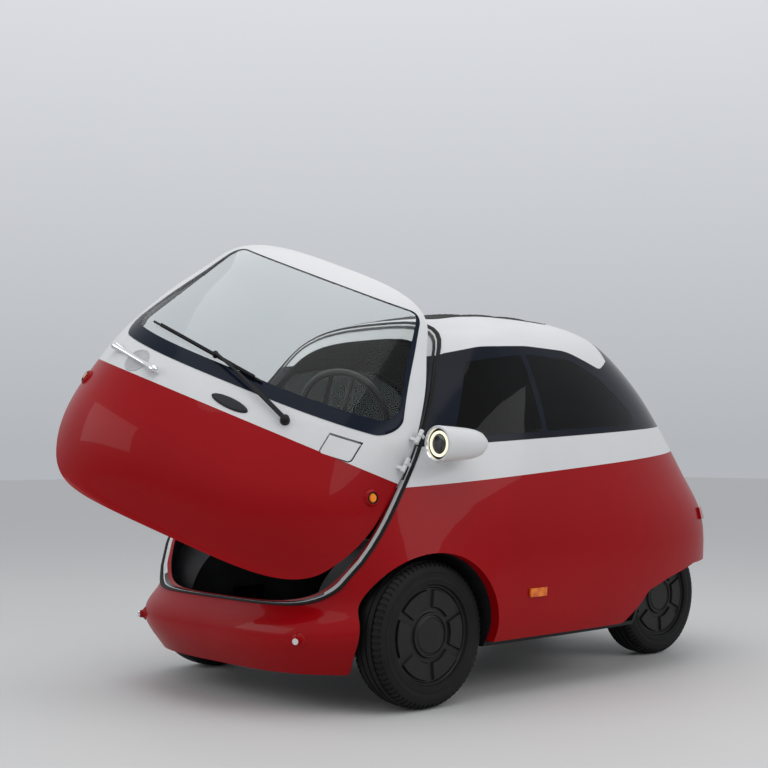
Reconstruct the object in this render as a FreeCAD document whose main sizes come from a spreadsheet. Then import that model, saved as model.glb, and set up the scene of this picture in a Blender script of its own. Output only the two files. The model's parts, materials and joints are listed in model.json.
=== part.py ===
import FreeCAD, Part
import math
import os
from FreeCAD import Placement, Rotation, Vector

# A bubble car with one front door, 2.5 m long. X points to the car's left, the nose
# looks along -Y and Z is up, all in millimetres. The origin lies on the ground under the
# middle of the car as it stands in the photograph, with its door swung open.

# name, value, what it is
SIZES = (
    ("front_axle_y", -560.0, "front axle, from the origin"),
    ("wheelbase", 1619.0, "front axle to rear axle"),
    ("axle_height", 260.0, "wheel centre above the ground"),
    ("tyre_radius", 260.0, "tyre"),
    ("tyre_width", 150.0, "tyre"),
    ("tyre_shoulder", 28.0, "rounding of the tyre's shoulders"),
    ("rim_radius", 174.0, "rim, which the tyre seats on"),
    ("rim_wall", 10.0, "rim barrel"),
    ("rim_disc", 16.0, "face of the rim"),
    ("rim_face_depth", 12.0, "face of the rim, in from the tyre's side"),
    ("hub_radius", 42.0, "hub of the rim"),
    ("hub_length", 44.0, "hub of the rim, behind its face"),
    ("spindle_radius", 15.0, "stub that the wheel turns on"),
    ("bearing_gap", 0.4, "running gap of shafts in bores"),
    ("front_track_x", 625.0, "front wheel's middle, from the centre plane"),
    ("rear_track_x", 397.0, "rear wheel's middle, from the centre plane"),
    ("kingpin_x", 588.0, "steering axis"),
    ("kingpin_radius", 11.0, "steering pin"),
    ("knuckle_radius", 25.0, "sleeve round the steering pin"),
    ("knuckle_drop", 60.0, "sleeve above and below the wheel's centre"),
    ("beam_height", 40.0, "front axle beam"),
    ("beam_depth", 60.0, "front axle beam, fore and aft"),
    ("wall", 38.0, "body walls and door"),
    ("glass", 6.0, "window glass"),
    ("glass_gap", 0.3, "glass to its frame"),
    ("seam", 5.0, "gap round the door and the tailgate"),
    ("door_bottom", 368.0, "lower edge of the door opening"),
    ("door_corner", 150.0, "rounding of the opening's lower corners"),
    ("seam_height", 860.0, "height at which the door seam's place is given"),
    ("seam_place", -20.0, "door seam behind the front axle at that height"),
    ("seam_lean", 0.66, "lean of the door seam, back for each unit up"),
    ("hinge_x", 630.0, "door hinge axis at its reference height"),
    ("hinge_behind", -34.0, "door hinge axis behind the front axle"),
    ("hinge_height", 900.0, "reference height of the door hinge axis"),
    ("hinge_lean_x", -0.098, "door hinge axis, sideways for each unit up"),
    ("hinge_lean_y", 0.751, "door hinge axis, back for each unit up"),
    ("door_open", 35.9, "angle at which the door stands open, degrees"),
    ("barrel_radius", 9.0, "door hinge barrels"),
    ("barrel_length", 24.0, "door hinge barrels"),
    ("strap_thickness", 6.0, "door hinge straps"),
    ("strap_lift", 0.6, "door hinge straps, off the curved skin"),
    ("body_strap", 64.0, "hinge strap on the body, from the axis"),
    ("door_strap", 66.0, "hinge straps on the door, from the axis"),
    ("hinge_pin_radius", 4.0, "door hinge pins"),
    ("hinge_spread", 124.0, "door hinge to door hinge, along the axis"),
    ("paint_height", 779.0, "line between the colours, over the front axle"),
    ("paint_rise", 0.0735, "rise of that line for each unit back"),
    ("door_paint_height", 766.0, "line between the colours on the door"),
    ("door_paint_rise", -0.19, "rise of that line on the door"),
    ("waist_height", 914.0, "lower edge of the dark window band"),
    ("waist_rise", 0.058, "rise of that edge for each unit back"),
    ("arch_radius", 288.0, "front wheel arch"),
    ("housing_wall", 4.0, "front wheel housing"),
    ("housing_x", 381.0, "inner wall of the front wheel housing"),
    ("housing_slot_top", 350.0, "top of the housing's slot for the axle"),
    ("floor_underside", 190.0, "floor"),
    ("floor_thickness", 16.0, "floor and bulkhead"),
    ("bulkhead_behind", 1170.0, "bulkhead behind the seat"),
    ("jack_pad_x", 450.0, "jacking pads under the floor"),
    ("jack_pad_front", 400.0, "front jacking pads"),
    ("jack_pad_rear", 1000.0, "rear jacking pads"),
    ("jack_pad_side", 90.0, "jacking pads"),
    ("jack_pad_drop", 12.0, "jacking pads, below the floor"),
    ("deck_height", 562.0, "boot floor"),
    ("roof_end", 1135.0, "rear end of the roof skin"),
    ("gate_hinge_x", 180.0, "tailgate hinges, from the centre plane"),
    ("gate_hinge_lift", 18.0, "tailgate hinge axis above the skin"),
    ("gate_strap", 46.0, "tailgate hinge straps, from the axis"),
    ("canvas_thickness", 20.0, "folding roof"),
    ("battery_width", 660.0, "battery"),
    ("battery_length", 480.0, "battery"),
    ("battery_height", 170.0, "battery"),
    ("battery_behind", 590.0, "battery's front face"),
    ("cushion_width", 960.0, "bench cushion"),
    ("cushion_length", 470.0, "bench cushion"),
    ("cushion_height", 130.0, "bench cushion"),
    ("backrest_height", 520.0, "bench back"),
    ("backrest_thickness", 110.0, "bench back"),
    ("soft_gap", 0.3, "soft parts to what they rest on"),
    ("motor_width", 220.0, "drive motor"),
    ("motor_length", 190.0, "drive motor"),
    ("motor_height", 190.0, "drive motor"),
    ("tube_radius", 26.0, "rear axle tube"),
    ("pod_x", 760.0, "lamp and mirror pod"),
    ("pod_behind", -40.0, "front of the pod"),
    ("pod_height", 925.0, "pod's axis"),
    ("pod_radius", 63.5, "pod"),
    ("pod_length", 235.0, "pod"),
    ("bezel_depth", 26.0, "ring round the lamp"),
    ("wheel_x", 240.0, "steering wheel's centre"),
    ("wheel_behind", 270.0, "steering wheel's centre"),
    ("wheel_height", 865.0, "steering wheel's centre"),
    ("wheel_radius", 180.0, "steering wheel's rim line"),
    ("wheel_grip", 13.0, "steering wheel's rim, radius of its section"),
    ("wheel_tilt", 14.0, "steering wheel, degrees from upright"),
    ("column_radius", 20.0, "steering column"),
    ("flap_x", 445.0, "middle of the service flap"),
    ("flap_width", 105.0, "service flap"),
    ("flap_height", 74.0, "service flap"),
    ("flap_bottom", 812.0, "lower edge of the service flap"),
    ("flap_seam", 5.0, "gap round the service flap"),
    ("flap_thickness", 10.0, "service flap"),
    ("flap_pin_radius", 2.5, "pin along the service flap's upper edge"),
    ("flap_top_seam", 7.5, "gap over the service flap, which leaves room for its turn"),
    ("flap_pocket", 7.0, "room behind the service flap"),
)

# The body's outer form, one level section for each height: how far it reaches ahead of
# the front axle and behind it, its half width, where it is widest, and how square its
# nose and its tail are (2 is an ellipse).
# height, nose, tail, half_width, widest, nose_power, tail_power
SECTIONS = (
    (135, 430, 1900, 690, 600, 3.6, 3.0),
    (200, 475, 1950, 715, 580, 3.6, 3.0),
    (270, 495, 1990, 738, 560, 3.6, 3.1),
    (320, 470, 2005, 745, 550, 3.5, 3.2),
    (370, 430, 2015, 750, 550, 3.3, 3.2),
    (440, 435, 2020, 752, 550, 3.1, 3.2),
    (540, 445, 2020, 752, 550, 3.0, 3.2),
    (640, 430, 2005, 747, 560, 3.0, 3.1),
    (760, 375, 1940, 732, 580, 3.0, 2.9),
    (880, 300, 1870, 712, 620, 3.0, 2.7),
    (1000, 195, 1785, 684, 660, 2.9, 2.6),
    (1120, 65, 1670, 650, 700, 2.8, 2.6),
    (1230, -70, 1535, 610, 740, 2.8, 2.6),
    (1320, -190, 1400, 560, 780, 3.2, 2.6),
    (1385, -300, 1265, 490, 780, 3.3, 2.6),
    (1430, -420, 1110, 370, 780, 3.0, 2.5),
    (1453, -590, 950, 200, 780, 2.5, 2.2),
    (1459, -740, 820, 40, 780, 2.2, 2.2),
)
COLUMNS = 36

# The swelling of the front wings over the wheels, a hump on the sections.
# height of the hump's middle, its spread up and down, behind the axle, spread, swelling
WING = (400.0, 190.0, -130.0, 270.0, 55.0)

# Outlines in side view, as distance behind the front axle, height and corner radius.
SILL_CUT = ((60, -50, 0), (60, 212, 0), (1040, 212, 60), (1126, 275, 40), (1190, 335, 80),
            (1345, 376, 100), (1590, 418, 100), (2300, 425, 0), (2300, -50, 0))
ROOF_ZONE = ((100, 1200, 0), (265, 1264, 60), (397, 1293, 300), (622, 1304, 500),
             (848, 1294, 300), (1041, 1228, 60), (1135, 1268, 0), (1135, 1600, 0),
             (100, 1600, 0))
FRONT_PANE = ((148, 948, 12), (318, 1232, 40), (572, 1268, 12), (584, 974, 12))
REAR_PANE = ((612, 976, 12), (600, 1270, 12), (850, 1258, 120), (1010, 1190, 60),
             (1260, 1012, 30))

# Outlines in front view, as X, height and corner radius.
WINDSCREEN = ((585, 918, 50), (395, 1338, 70), (-395, 1338, 70), (-585, 918, 50))
GATE_ZONE = ((480, 690, 60), (440, 1250, 200), (440, 1600, 0), (-440, 1600, 0),
             (-440, 1250, 200), (-480, 690, 60))
REAR_PANE_ZONE = ((405, 1045, 40), (365, 1360, 70), (-365, 1360, 70), (-405, 1045, 40))

# Outline in plan, as X, distance behind the front axle and corner radius.
CANVAS_ZONE = ((300, 400, 60), (440, 960, 80), (-440, 960, 80), (-300, 400, 60))

document = FreeCAD.newDocument("bubble_car")
sheet = document.addObject("Spreadsheet::Sheet", "Sizes")
for row, (name, value, meaning) in enumerate(SIZES, start=1):
    sheet.set(f"A{row}", meaning)
    sheet.set(f"B{row}", str(value))
    sheet.setAlias(f"B{row}", name)
document.recompute()
subparts = []


def size(name):
    """A value from the sheet."""
    return float(sheet.get(name))


def bind(item, **expressions):
    """Ties properties to the sheet; place_x and the like stand for the placement."""
    for name, text in expressions.items():
        if name.startswith("place_"):
            name = "Placement.Base." + name[-1]
        item.setExpression(name, text)
    return item


def primitive(kind, name, turn=None, **expressions):
    """A box, cylinder, cone, torus or sphere with its sizes tied to the sheet."""
    item = document.addObject("Part::" + kind, name)
    if turn:
        item.Placement.Rotation = turn
    return bind(item, **expressions)


def fuse(name, *items):
    item = document.addObject("Part::MultiFuse", name)
    item.Shapes = list(items)
    return item


def cut(name, base, tool):
    item = document.addObject("Part::Cut", name)
    item.Base = base
    item.Tool = tool
    return item


def feature(name, shape):
    item = document.addObject("Part::Feature", name)
    item.Shape = shape
    return item


def keep(item, name, swing=None):
    """Makes an object a sub-part, which goes to its own file; swing moves it with its door."""
    if swing:
        group = document.addObject("Part::Compound", name)
        group.Links = [item]
        group.Placement = swing
        item = group
    item.Label = name
    subparts.append(item)
    return item


def behind(distance):
    """Y of a place given as a distance behind the front axle."""
    return size("front_axle_y") + distance


def section_points(row):
    """Points round one level section, from the nose by the car's left side to the tail."""
    height, nose, tail, half_width, widest, nose_power, tail_power = row
    wing_height, wing_spread_z, wing_behind, wing_spread_y, swelling = WING
    points = []
    for column in range(COLUMNS):
        angle = 2 * math.pi * column / COLUMNS - math.pi / 2
        across = math.cos(angle)
        along = math.sin(angle)
        power = nose_power if along < 0 else tail_power
        reach = widest + nose if along < 0 else tail - widest
        radius = (abs(across / half_width) ** power + abs(along / reach) ** power) ** (-1 / power)
        x = radius * across
        y = widest + radius * along
        hump = math.exp(-((y - wing_behind) / wing_spread_y) ** 2)
        hump *= math.exp(-((height - wing_height) / wing_spread_z) ** 2)
        x += math.copysign(swelling * hump * abs(x / half_width) ** 3, x)
        points.append(Vector(x, behind(y), height))
    return points


def surface_through(rows):
    """A smooth surface through rings of points, closed round and open up and down."""
    places = [0.0]
    for lower, upper in zip(rows, rows[1:]):
        step = max(upper[k].distanceToPoint(lower[k]) for k in (0, COLUMNS // 4, 3 * COLUMNS // 4))
        places.append(places[-1] + step)
    rings = []
    for points in rows:
        ring = Part.BSplineCurve()
        ring.interpolate(Points=points, PeriodicFlag=True,
                         Parameters=[float(k) for k in range(COLUMNS + 1)])
        rings.append(ring)
    columns = []
    for k in range(rings[0].NbPoles):
        column = Part.BSplineCurve()
        column.interpolate(Points=[ring.getPole(k + 1) for ring in rings], Parameters=places)
        columns.append(column)
    surface = Part.BSplineSurface()
    surface.buildFromPolesMultsKnots(
        [column.getPoles() for column in columns],
        rings[0].getMultiplicities(), columns[0].getMultiplicities(),
        rings[0].getKnots(), columns[0].getKnots(), True, False, 3, 3)
    return surface, places


def closed_body(surface):
    """A solid from the body's surface: left and right side, and a flat lid below and above."""
    sides = []
    for first, last in ((0, COLUMNS // 2), (COLUMNS // 2, COLUMNS)):
        side = surface.copy()
        side.segment(first, last, *surface.bounds()[2:])
        sides.append(side.toShape())
    level = [edge for side in sides for edge in side.Edges if edge.BoundBox.ZLength < 1e-3]
    level.sort(key=lambda edge: edge.BoundBox.ZMin)
    lids = [Part.Face(Part.Wire(Part.__sortEdges__(pair))) for pair in (level[:2], level[2:])]
    closed = Part.makeShell(sides + lids)
    closed.sewShape()
    return Part.makeSolid(closed)


OUTER_ROWS = [section_points(row) for row in SECTIONS]
OUTER, OUTER_PLACES = surface_through(OUTER_ROWS)


def hull(inset):
    """The body's form, moved in by a distance square to its surface."""
    if inset == 0:
        return closed_body(OUTER)
    rows = []
    for place, points in zip(OUTER_PLACES, OUTER_ROWS):
        row = []
        for k, point in enumerate(points):
            out = OUTER.normal(float(k), place)
            if out.dot(point - Vector(0, behind(SECTIONS[0][4]), point.z)) < 0:
                out = -out
            if place == OUTER_PLACES[-1]:
                out = Vector(0, 0, 1)
            row.append(point - out * inset)
        rows.append(row)
    low = sum(point.z for point in rows[0]) / COLUMNS
    rows[0] = [Vector(point.x, point.y, low) for point in rows[0]]
    rows.insert(0, [point - Vector(0, 0, inset + 40) for point in rows[0]])
    surface, places = surface_through(rows)
    return closed_body(surface)


def rounded_wire(corners, place):
    """A closed outline with its corners rounded; place turns two numbers into a point."""
    count = len(corners)
    starts = []
    ends = []
    edges = []
    for k, (a, b, radius) in enumerate(corners):
        here = Vector(a, b, 0)
        back = Vector(*corners[k - 1][:2], 0) - here
        ahead = Vector(*corners[(k + 1) % count][:2], 0) - here
        back.normalize()
        ahead.normalize()
        if radius == 0:
            starts.append(here)
            ends.append(here)
            continue
        half = back.getAngle(ahead) / 2
        reach = radius / math.tan(half)
        middle = back + ahead
        middle.normalize()
        centre = here + middle * (radius / math.sin(half))
        start = here + back * reach
        end = here + ahead * reach
        crown = centre - middle * radius
        starts.append(start)
        ends.append(end)
        edges.append(Part.Arc(place(start), place(crown), place(end)).toShape())
    for k in range(count):
        a = ends[k]
        b = starts[(k + 1) % count]
        if a.distanceToPoint(b) > 1e-6:
            edges.append(Part.makeLine(place(a), place(b)))
    return Part.Wire(Part.__sortEdges__(edges))


def side_prism(corners, x_low, x_high):
    """An outline in side view, pushed across the car."""
    wire = rounded_wire(corners, lambda p: Vector(x_low, behind(p.x), p.y))
    return Part.Face(wire).extrude(Vector(x_high - x_low, 0, 0))


def front_prism(corners, near, far):
    """An outline in front view, pushed along the car."""
    wire = rounded_wire(corners, lambda p: Vector(p.x, behind(near), p.y))
    return Part.Face(wire).extrude(Vector(0, far - near, 0))


def plan_prism(corners, low, high):
    """An outline in plan, pushed upwards."""
    wire = rounded_wire(corners, lambda p: Vector(p.x, behind(p.y), low))
    return Part.Face(wire).extrude(Vector(0, 0, high - low))


def inset_outline(corners, gap):
    """An outline moved in all round by a gap, with its corner radii less the gap."""
    count = len(corners)
    area = sum(corners[k - 1][0] * corners[k][1] - corners[k][0] * corners[k - 1][1]
               for k in range(count))
    turn = 1 if area > 0 else -1
    result = []
    for k, (a, b, radius) in enumerate(corners):
        lines = []
        for first, second in ((corners[k - 1], corners[k]), (corners[k], corners[(k + 1) % count])):
            along = Vector(second[0] - first[0], second[1] - first[1], 0).normalize()
            inward = Vector(-along.y, along.x, 0) * turn
            lines.append((Vector(first[0], first[1], 0) + inward * gap, along))
        (p, d), (q, e) = lines
        share = ((q - p).cross(e)).z / (d.cross(e)).z
        corner = p + d * share
        result.append((corner.x, corner.y, max(radius - gap, 0) if radius else 0))
    return result


WIDE = 1000.0
HIGH = 1700.0
FAR = 2600.0


def door_outline(gap):
    """The door opening in side view, or the door itself, which is smaller by a gap."""
    lean = size("seam_lean")
    shift = gap * math.hypot(1, lean)
    bottom = size("door_bottom") + gap

    def seam_at(height):
        return size("seam_place") + lean * (height - size("seam_height")) - shift
    return ((seam_at(bottom), bottom, size("door_corner")), (seam_at(HIGH), HIGH, 0),
            (-FAR, HIGH, 0), (-FAR, bottom, 0))


def above_line(height, rise):
    """Everything above a line that rises towards the tail, in side view."""
    return side_prism(((-FAR, height - rise * FAR, 0), (FAR, height + rise * FAR, 0),
                       (FAR, 2 * HIGH, 0), (-FAR, 2 * HIGH, 0)), -WIDE, WIDE)


def mirrored(shape):
    return shape.mirror(Vector(0, 0, 0), Vector(1, 0, 0))


def hinge_frame():
    """A point on the door's hinge axis, and the axis, which points up."""
    point = Vector(size("hinge_x"), behind(size("hinge_behind")), size("hinge_height"))
    axis = Vector(size("hinge_lean_x"), size("hinge_lean_y"), 1).normalize()
    return point, axis


HINGE_POINT, HINGE_AXIS = hinge_frame()
DOOR_SWING = Placement(Vector(0, 0, 0), Rotation(HINGE_AXIS, size("door_open")), HINGE_POINT)
SEAM = size("seam")
wall_outer = hull(0)
wall_inner = hull(size("wall"))
glass_inner = hull(size("glass"))
shell = wall_outer.cut(wall_inner)
above_paint = above_line(size("paint_height"), size("paint_rise"))
above_waist = above_line(size("waist_height"), size("waist_rise"))
above_door_paint = above_line(size("door_paint_height"), size("door_paint_rise"))
opening = side_prism(door_outline(0), -WIDE, WIDE)
door_zone = side_prism(door_outline(SEAM), -WIDE, WIDE)
roof_zone = side_prism(ROOF_ZONE, -WIDE, WIDE)
gate_hole = front_prism(GATE_ZONE, size("roof_end"), FAR)
gate_zone = front_prism(inset_outline(GATE_ZONE, SEAM), size("roof_end") + SEAM, FAR)


def wheel_arch(side, radius, inner_x):
    """A cylinder across the front wheel, from a place beside it outwards."""
    start = Vector(side * inner_x, behind(0), size("axle_height"))
    return Part.makeCylinder(radius, WIDE - inner_x, start, Vector(side, 0, 0))


def build_body():
    """The fixed walls of the body: red below, a light band, dark pillars and a light roof."""
    arches = [wheel_arch(side, size("arch_radius"), 200) for side in (1, -1)]
    low_cut = side_prism(SILL_CUT, -WIDE, WIDE)
    body = shell.cut([opening, gate_hole])
    nose = Part.makeBox(2 * WIDE, FAR, size("door_bottom") + 60,
                        Vector(-WIDE, behind(-size("arch_radius") + 20) - FAR, 0))
    lower = body.cut([above_paint] + arches + [low_cut])
    keep(feature("front_apron_walls", lower.common(nose)), "front_apron")
    under_arch = Part.makeBox(2 * WIDE, size("arch_radius"), size("axle_height"),
                              Vector(-WIDE, nose.BoundBox.YMax, 0))
    keep(feature("lower_body_walls", lower.cut([nose, under_arch])), "lower_body")
    upper = body.common(above_paint)
    keep(feature("belt_walls", upper.cut(above_waist)), "belt")
    top = upper.common(above_waist)
    hole = plan_prism(CANVAS_ZONE, 1200, HIGH)
    keep(feature("roof_walls", top.common(roof_zone).cut(hole)), "roof")
    canvas_inner = hull(size("canvas_thickness"))
    cover = wall_outer.cut(canvas_inner).common(
        plan_prism(inset_outline(CANVAS_ZONE, size("soft_gap")), 1200, HIGH))
    keep(feature("sunroof_cover", cover), "sunroof_canvas")
    holes = [mirrored(side_prism(pane, 0, WIDE)) for pane in (FRONT_PANE, REAR_PANE)]
    pillars = top.cut([roof_zone] + holes)
    right = min(pillars.Solids, key=lambda solid: solid.CenterOfMass.x)
    keep(feature("pillar_walls", Part.makeCompound([right, mirrored(right)])), "window_frame")
    for side, name in ((1, "side_glass_left"), (-1, "side_glass_right")):
        glasses = []
        for outline in (FRONT_PANE, REAR_PANE):
            pane = side_prism(inset_outline(outline, size("glass_gap")), 0, WIDE)
            thick = shell.common(pane).cut([opening, gate_hole])
            glasses.append(thick.cut(glass_inner))
        both = Part.makeCompound(glasses)
        keep(feature(name + "_panes", both if side > 0 else mirrored(both)), name)


def build_tailgate():
    """The tailgate: red foot, light band, dark frame and its window."""
    gate = shell.common(gate_zone)
    window = front_prism(REAR_PANE_ZONE, 800, FAR)
    keep(feature("gate_foot", gate.cut(above_paint)), "tailgate_lower")
    keep(feature("gate_band", gate.common(above_paint).cut(above_waist)), "tailgate_band")
    keep(feature("gate_surround", gate.common(above_waist).cut(window)), "tailgate_frame")
    pane = front_prism(inset_outline(REAR_PANE_ZONE, size("glass_gap")), 800, FAR)
    keep(feature("gate_glass", gate.common(pane).cut(glass_inner)), "rear_glass")


def flap_zone(gap, top_gap):
    """The service flap in front view."""
    half = size("flap_width") / 2 - gap
    low = size("flap_bottom") + gap
    high = size("flap_bottom") + size("flap_height") - top_gap
    corners = ((size("flap_x") - half, low, 14 - gap), (size("flap_x") + half, low, 14 - gap),
               (size("flap_x") + half, high, 0), (size("flap_x") - half, high, 0))
    return front_prism(corners, -600, 0)


def build_door():
    """The front door, modelled shut and then swung open: red lower half, light frame, glass."""
    door = shell.common(door_zone)
    window = front_prism(WINDSCREEN, -600, 700)
    pocket_inner = hull(size("flap_thickness") + size("flap_pocket"))
    pocket = wall_outer.cut(pocket_inner).common(flap_zone(0, 0))
    keep(feature("door_lower_walls", door.cut(above_door_paint)), "door_lower", DOOR_SWING)
    upper = door.common(above_door_paint).cut([window, pocket])
    keep(feature("door_upper_walls", upper), "door_upper", DOOR_SWING)
    flap_inner = hull(size("flap_thickness"))
    flap = wall_outer.cut(flap_inner).common(flap_zone(size("flap_seam"), size("flap_top_seam")))
    pin_radius = size("flap_pin_radius")
    across = abs(FLAP_AXIS.x)
    reach = size("flap_width") / 2 - size("soft_gap") - pin_radius * math.sqrt(1 - across ** 2)
    pin = Part.makeCylinder(pin_radius, 2 * reach / across,
                            FLAP_POINT - FLAP_AXIS * (reach / across), FLAP_AXIS)
    keep(feature("flap_plate", flap.fuse(pin).removeSplitter()), "service_flap", DOOR_SWING)
    pane = front_prism(inset_outline(WINDSCREEN, size("glass_gap")), -600, 700)
    glass = door.common(pane).cut(glass_inner)
    keep(feature("windscreen_glass", glass), "windscreen", DOOR_SWING)


def hinge_strap(middle, axis, reach, bored):
    """A barrel on a hinge axis with a strap that lies on the skin, ahead or behind."""
    radius = size("barrel_radius")
    length = size("barrel_length")
    thick = size("strap_thickness")
    start = middle - axis * (length / 2)
    along = Vector(0, 1, 0) - axis * axis.y
    foot = skin_frame(middle + along.normalize() * reach)
    end = foot.Base + foot.Rotation.multVec(Vector(0, 0, thick / 2 + size("strap_lift"))) - middle
    end = end - axis * end.dot(axis)
    across = axis.cross(end).normalize() * (thick / 2)
    corners = [start + across, start + across + end, start - across + end, start - across]
    strap = Part.Face(Part.makePolygon(corners + corners[:1])).extrude(axis * length)
    strap = Part.makeCylinder(radius, length, start, axis).fuse(strap).removeSplitter()
    if not bored:
        return strap
    bore = size("hinge_pin_radius") + size("bearing_gap")
    return strap.cut(Part.makeCylinder(bore, length, start, axis))


def strap_hinge(middle, axis, fixed_reach, moving_reach):
    """A strap on the body between two on what it carries, which share one pin."""
    step = size("barrel_length") + size("bearing_gap")
    fixed = hinge_strap(middle, axis, fixed_reach, True)
    moving = Part.makeCylinder(size("hinge_pin_radius"), 3 * step, middle - axis * (1.5 * step), axis)
    for side in (-1, 1):
        moving = moving.fuse(hinge_strap(middle + axis * (step * side), axis, moving_reach, False))
    return fixed, moving.removeSplitter()


def build_hinges():
    """Two strap hinges at the door's left edge, and two on top at the tailgate."""
    door = [strap_hinge(HINGE_POINT + HINGE_AXIS * (side * size("hinge_spread") / 2), HINGE_AXIS,
                        size("body_strap"), -size("door_strap")) for side in (-1, 1)]
    across = Vector(1, 0, 0)
    gate = [strap_hinge(GATE_AXIS + across * (side * size("gate_hinge_x")), across,
                        -size("gate_strap"), size("gate_strap")) for side in (-1, 1)]
    fixed = [pair[0] for pair in door + gate]
    keep(feature("body_straps", Part.makeCompound(fixed)), "hinge_brackets")
    leaves = Part.makeCompound([pair[1] for pair in door])
    keep(feature("door_straps", leaves), "hinge_leaves", DOOR_SWING)
    gate_leaves = Part.makeCompound([pair[1] for pair in gate])
    keep(feature("gate_straps", gate_leaves), "tailgate_hinges")


def build_floor():
    """Floor, bulkhead behind the seat and boot floor, pressed as one pan."""
    under = size("floor_underside")
    thick = size("floor_thickness")
    deck = size("deck_height")
    wall_y = size("bulkhead_behind")
    plates = (
        Part.makeBox(2 * WIDE, wall_y + thick + 700, thick, Vector(-WIDE, behind(-700), under)),
        Part.makeBox(2 * WIDE, thick, deck - under + thick, Vector(-WIDE, behind(wall_y), under)),
        Part.makeBox(2 * WIDE, 1200, thick, Vector(-WIDE, behind(wall_y), deck)),
    )
    pan = plates[0].fuse([plates[1], plates[2]]).removeSplitter()
    liner = size("arch_radius") + size("housing_wall")
    arches = [wheel_arch(side, liner, size("housing_x")) for side in (1, -1)]
    side_length = size("jack_pad_side")
    drop = size("jack_pad_drop")
    pads = [Part.makeBox(side_length, side_length, drop,
                         Vector(side * size("jack_pad_x") - side_length / 2, behind(place), under - drop))
            for side in (1, -1) for place in (size("jack_pad_front"), size("jack_pad_rear"))]
    pan = pan.common(wall_inner).cut(arches).fuse(pads).removeSplitter()
    keep(feature("floor_plates", pan), "floor_pan")


def build_housings():
    """The front wheel housings: a drum and an inner wall with a slot for the axle."""
    thin = size("housing_wall")
    both = []
    for side in (1, -1):
        drum = wheel_arch(side, size("arch_radius") + thin, size("housing_x"))
        hollow = wheel_arch(side, size("arch_radius"), size("housing_x") + thin)
        slot = Part.makeBox(2 * WIDE, 160, size("housing_slot_top"), Vector(-WIDE, behind(-80), 0))
        below = Part.makeBox(2 * WIDE, 1200, size("floor_underside"), Vector(-WIDE, behind(-600), 0))
        both.append(drum.cut([hollow, slot, below]).common(wall_inner))
    keep(feature("housing_drums", Part.makeCompound(both)), "wheel_housings")


AXLE_Y = "Sizes.front_axle_y"
REAR_Y = "(Sizes.front_axle_y + Sizes.wheelbase)"
ACROSS = Rotation(Vector(0, 1, 0), 90)


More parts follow.
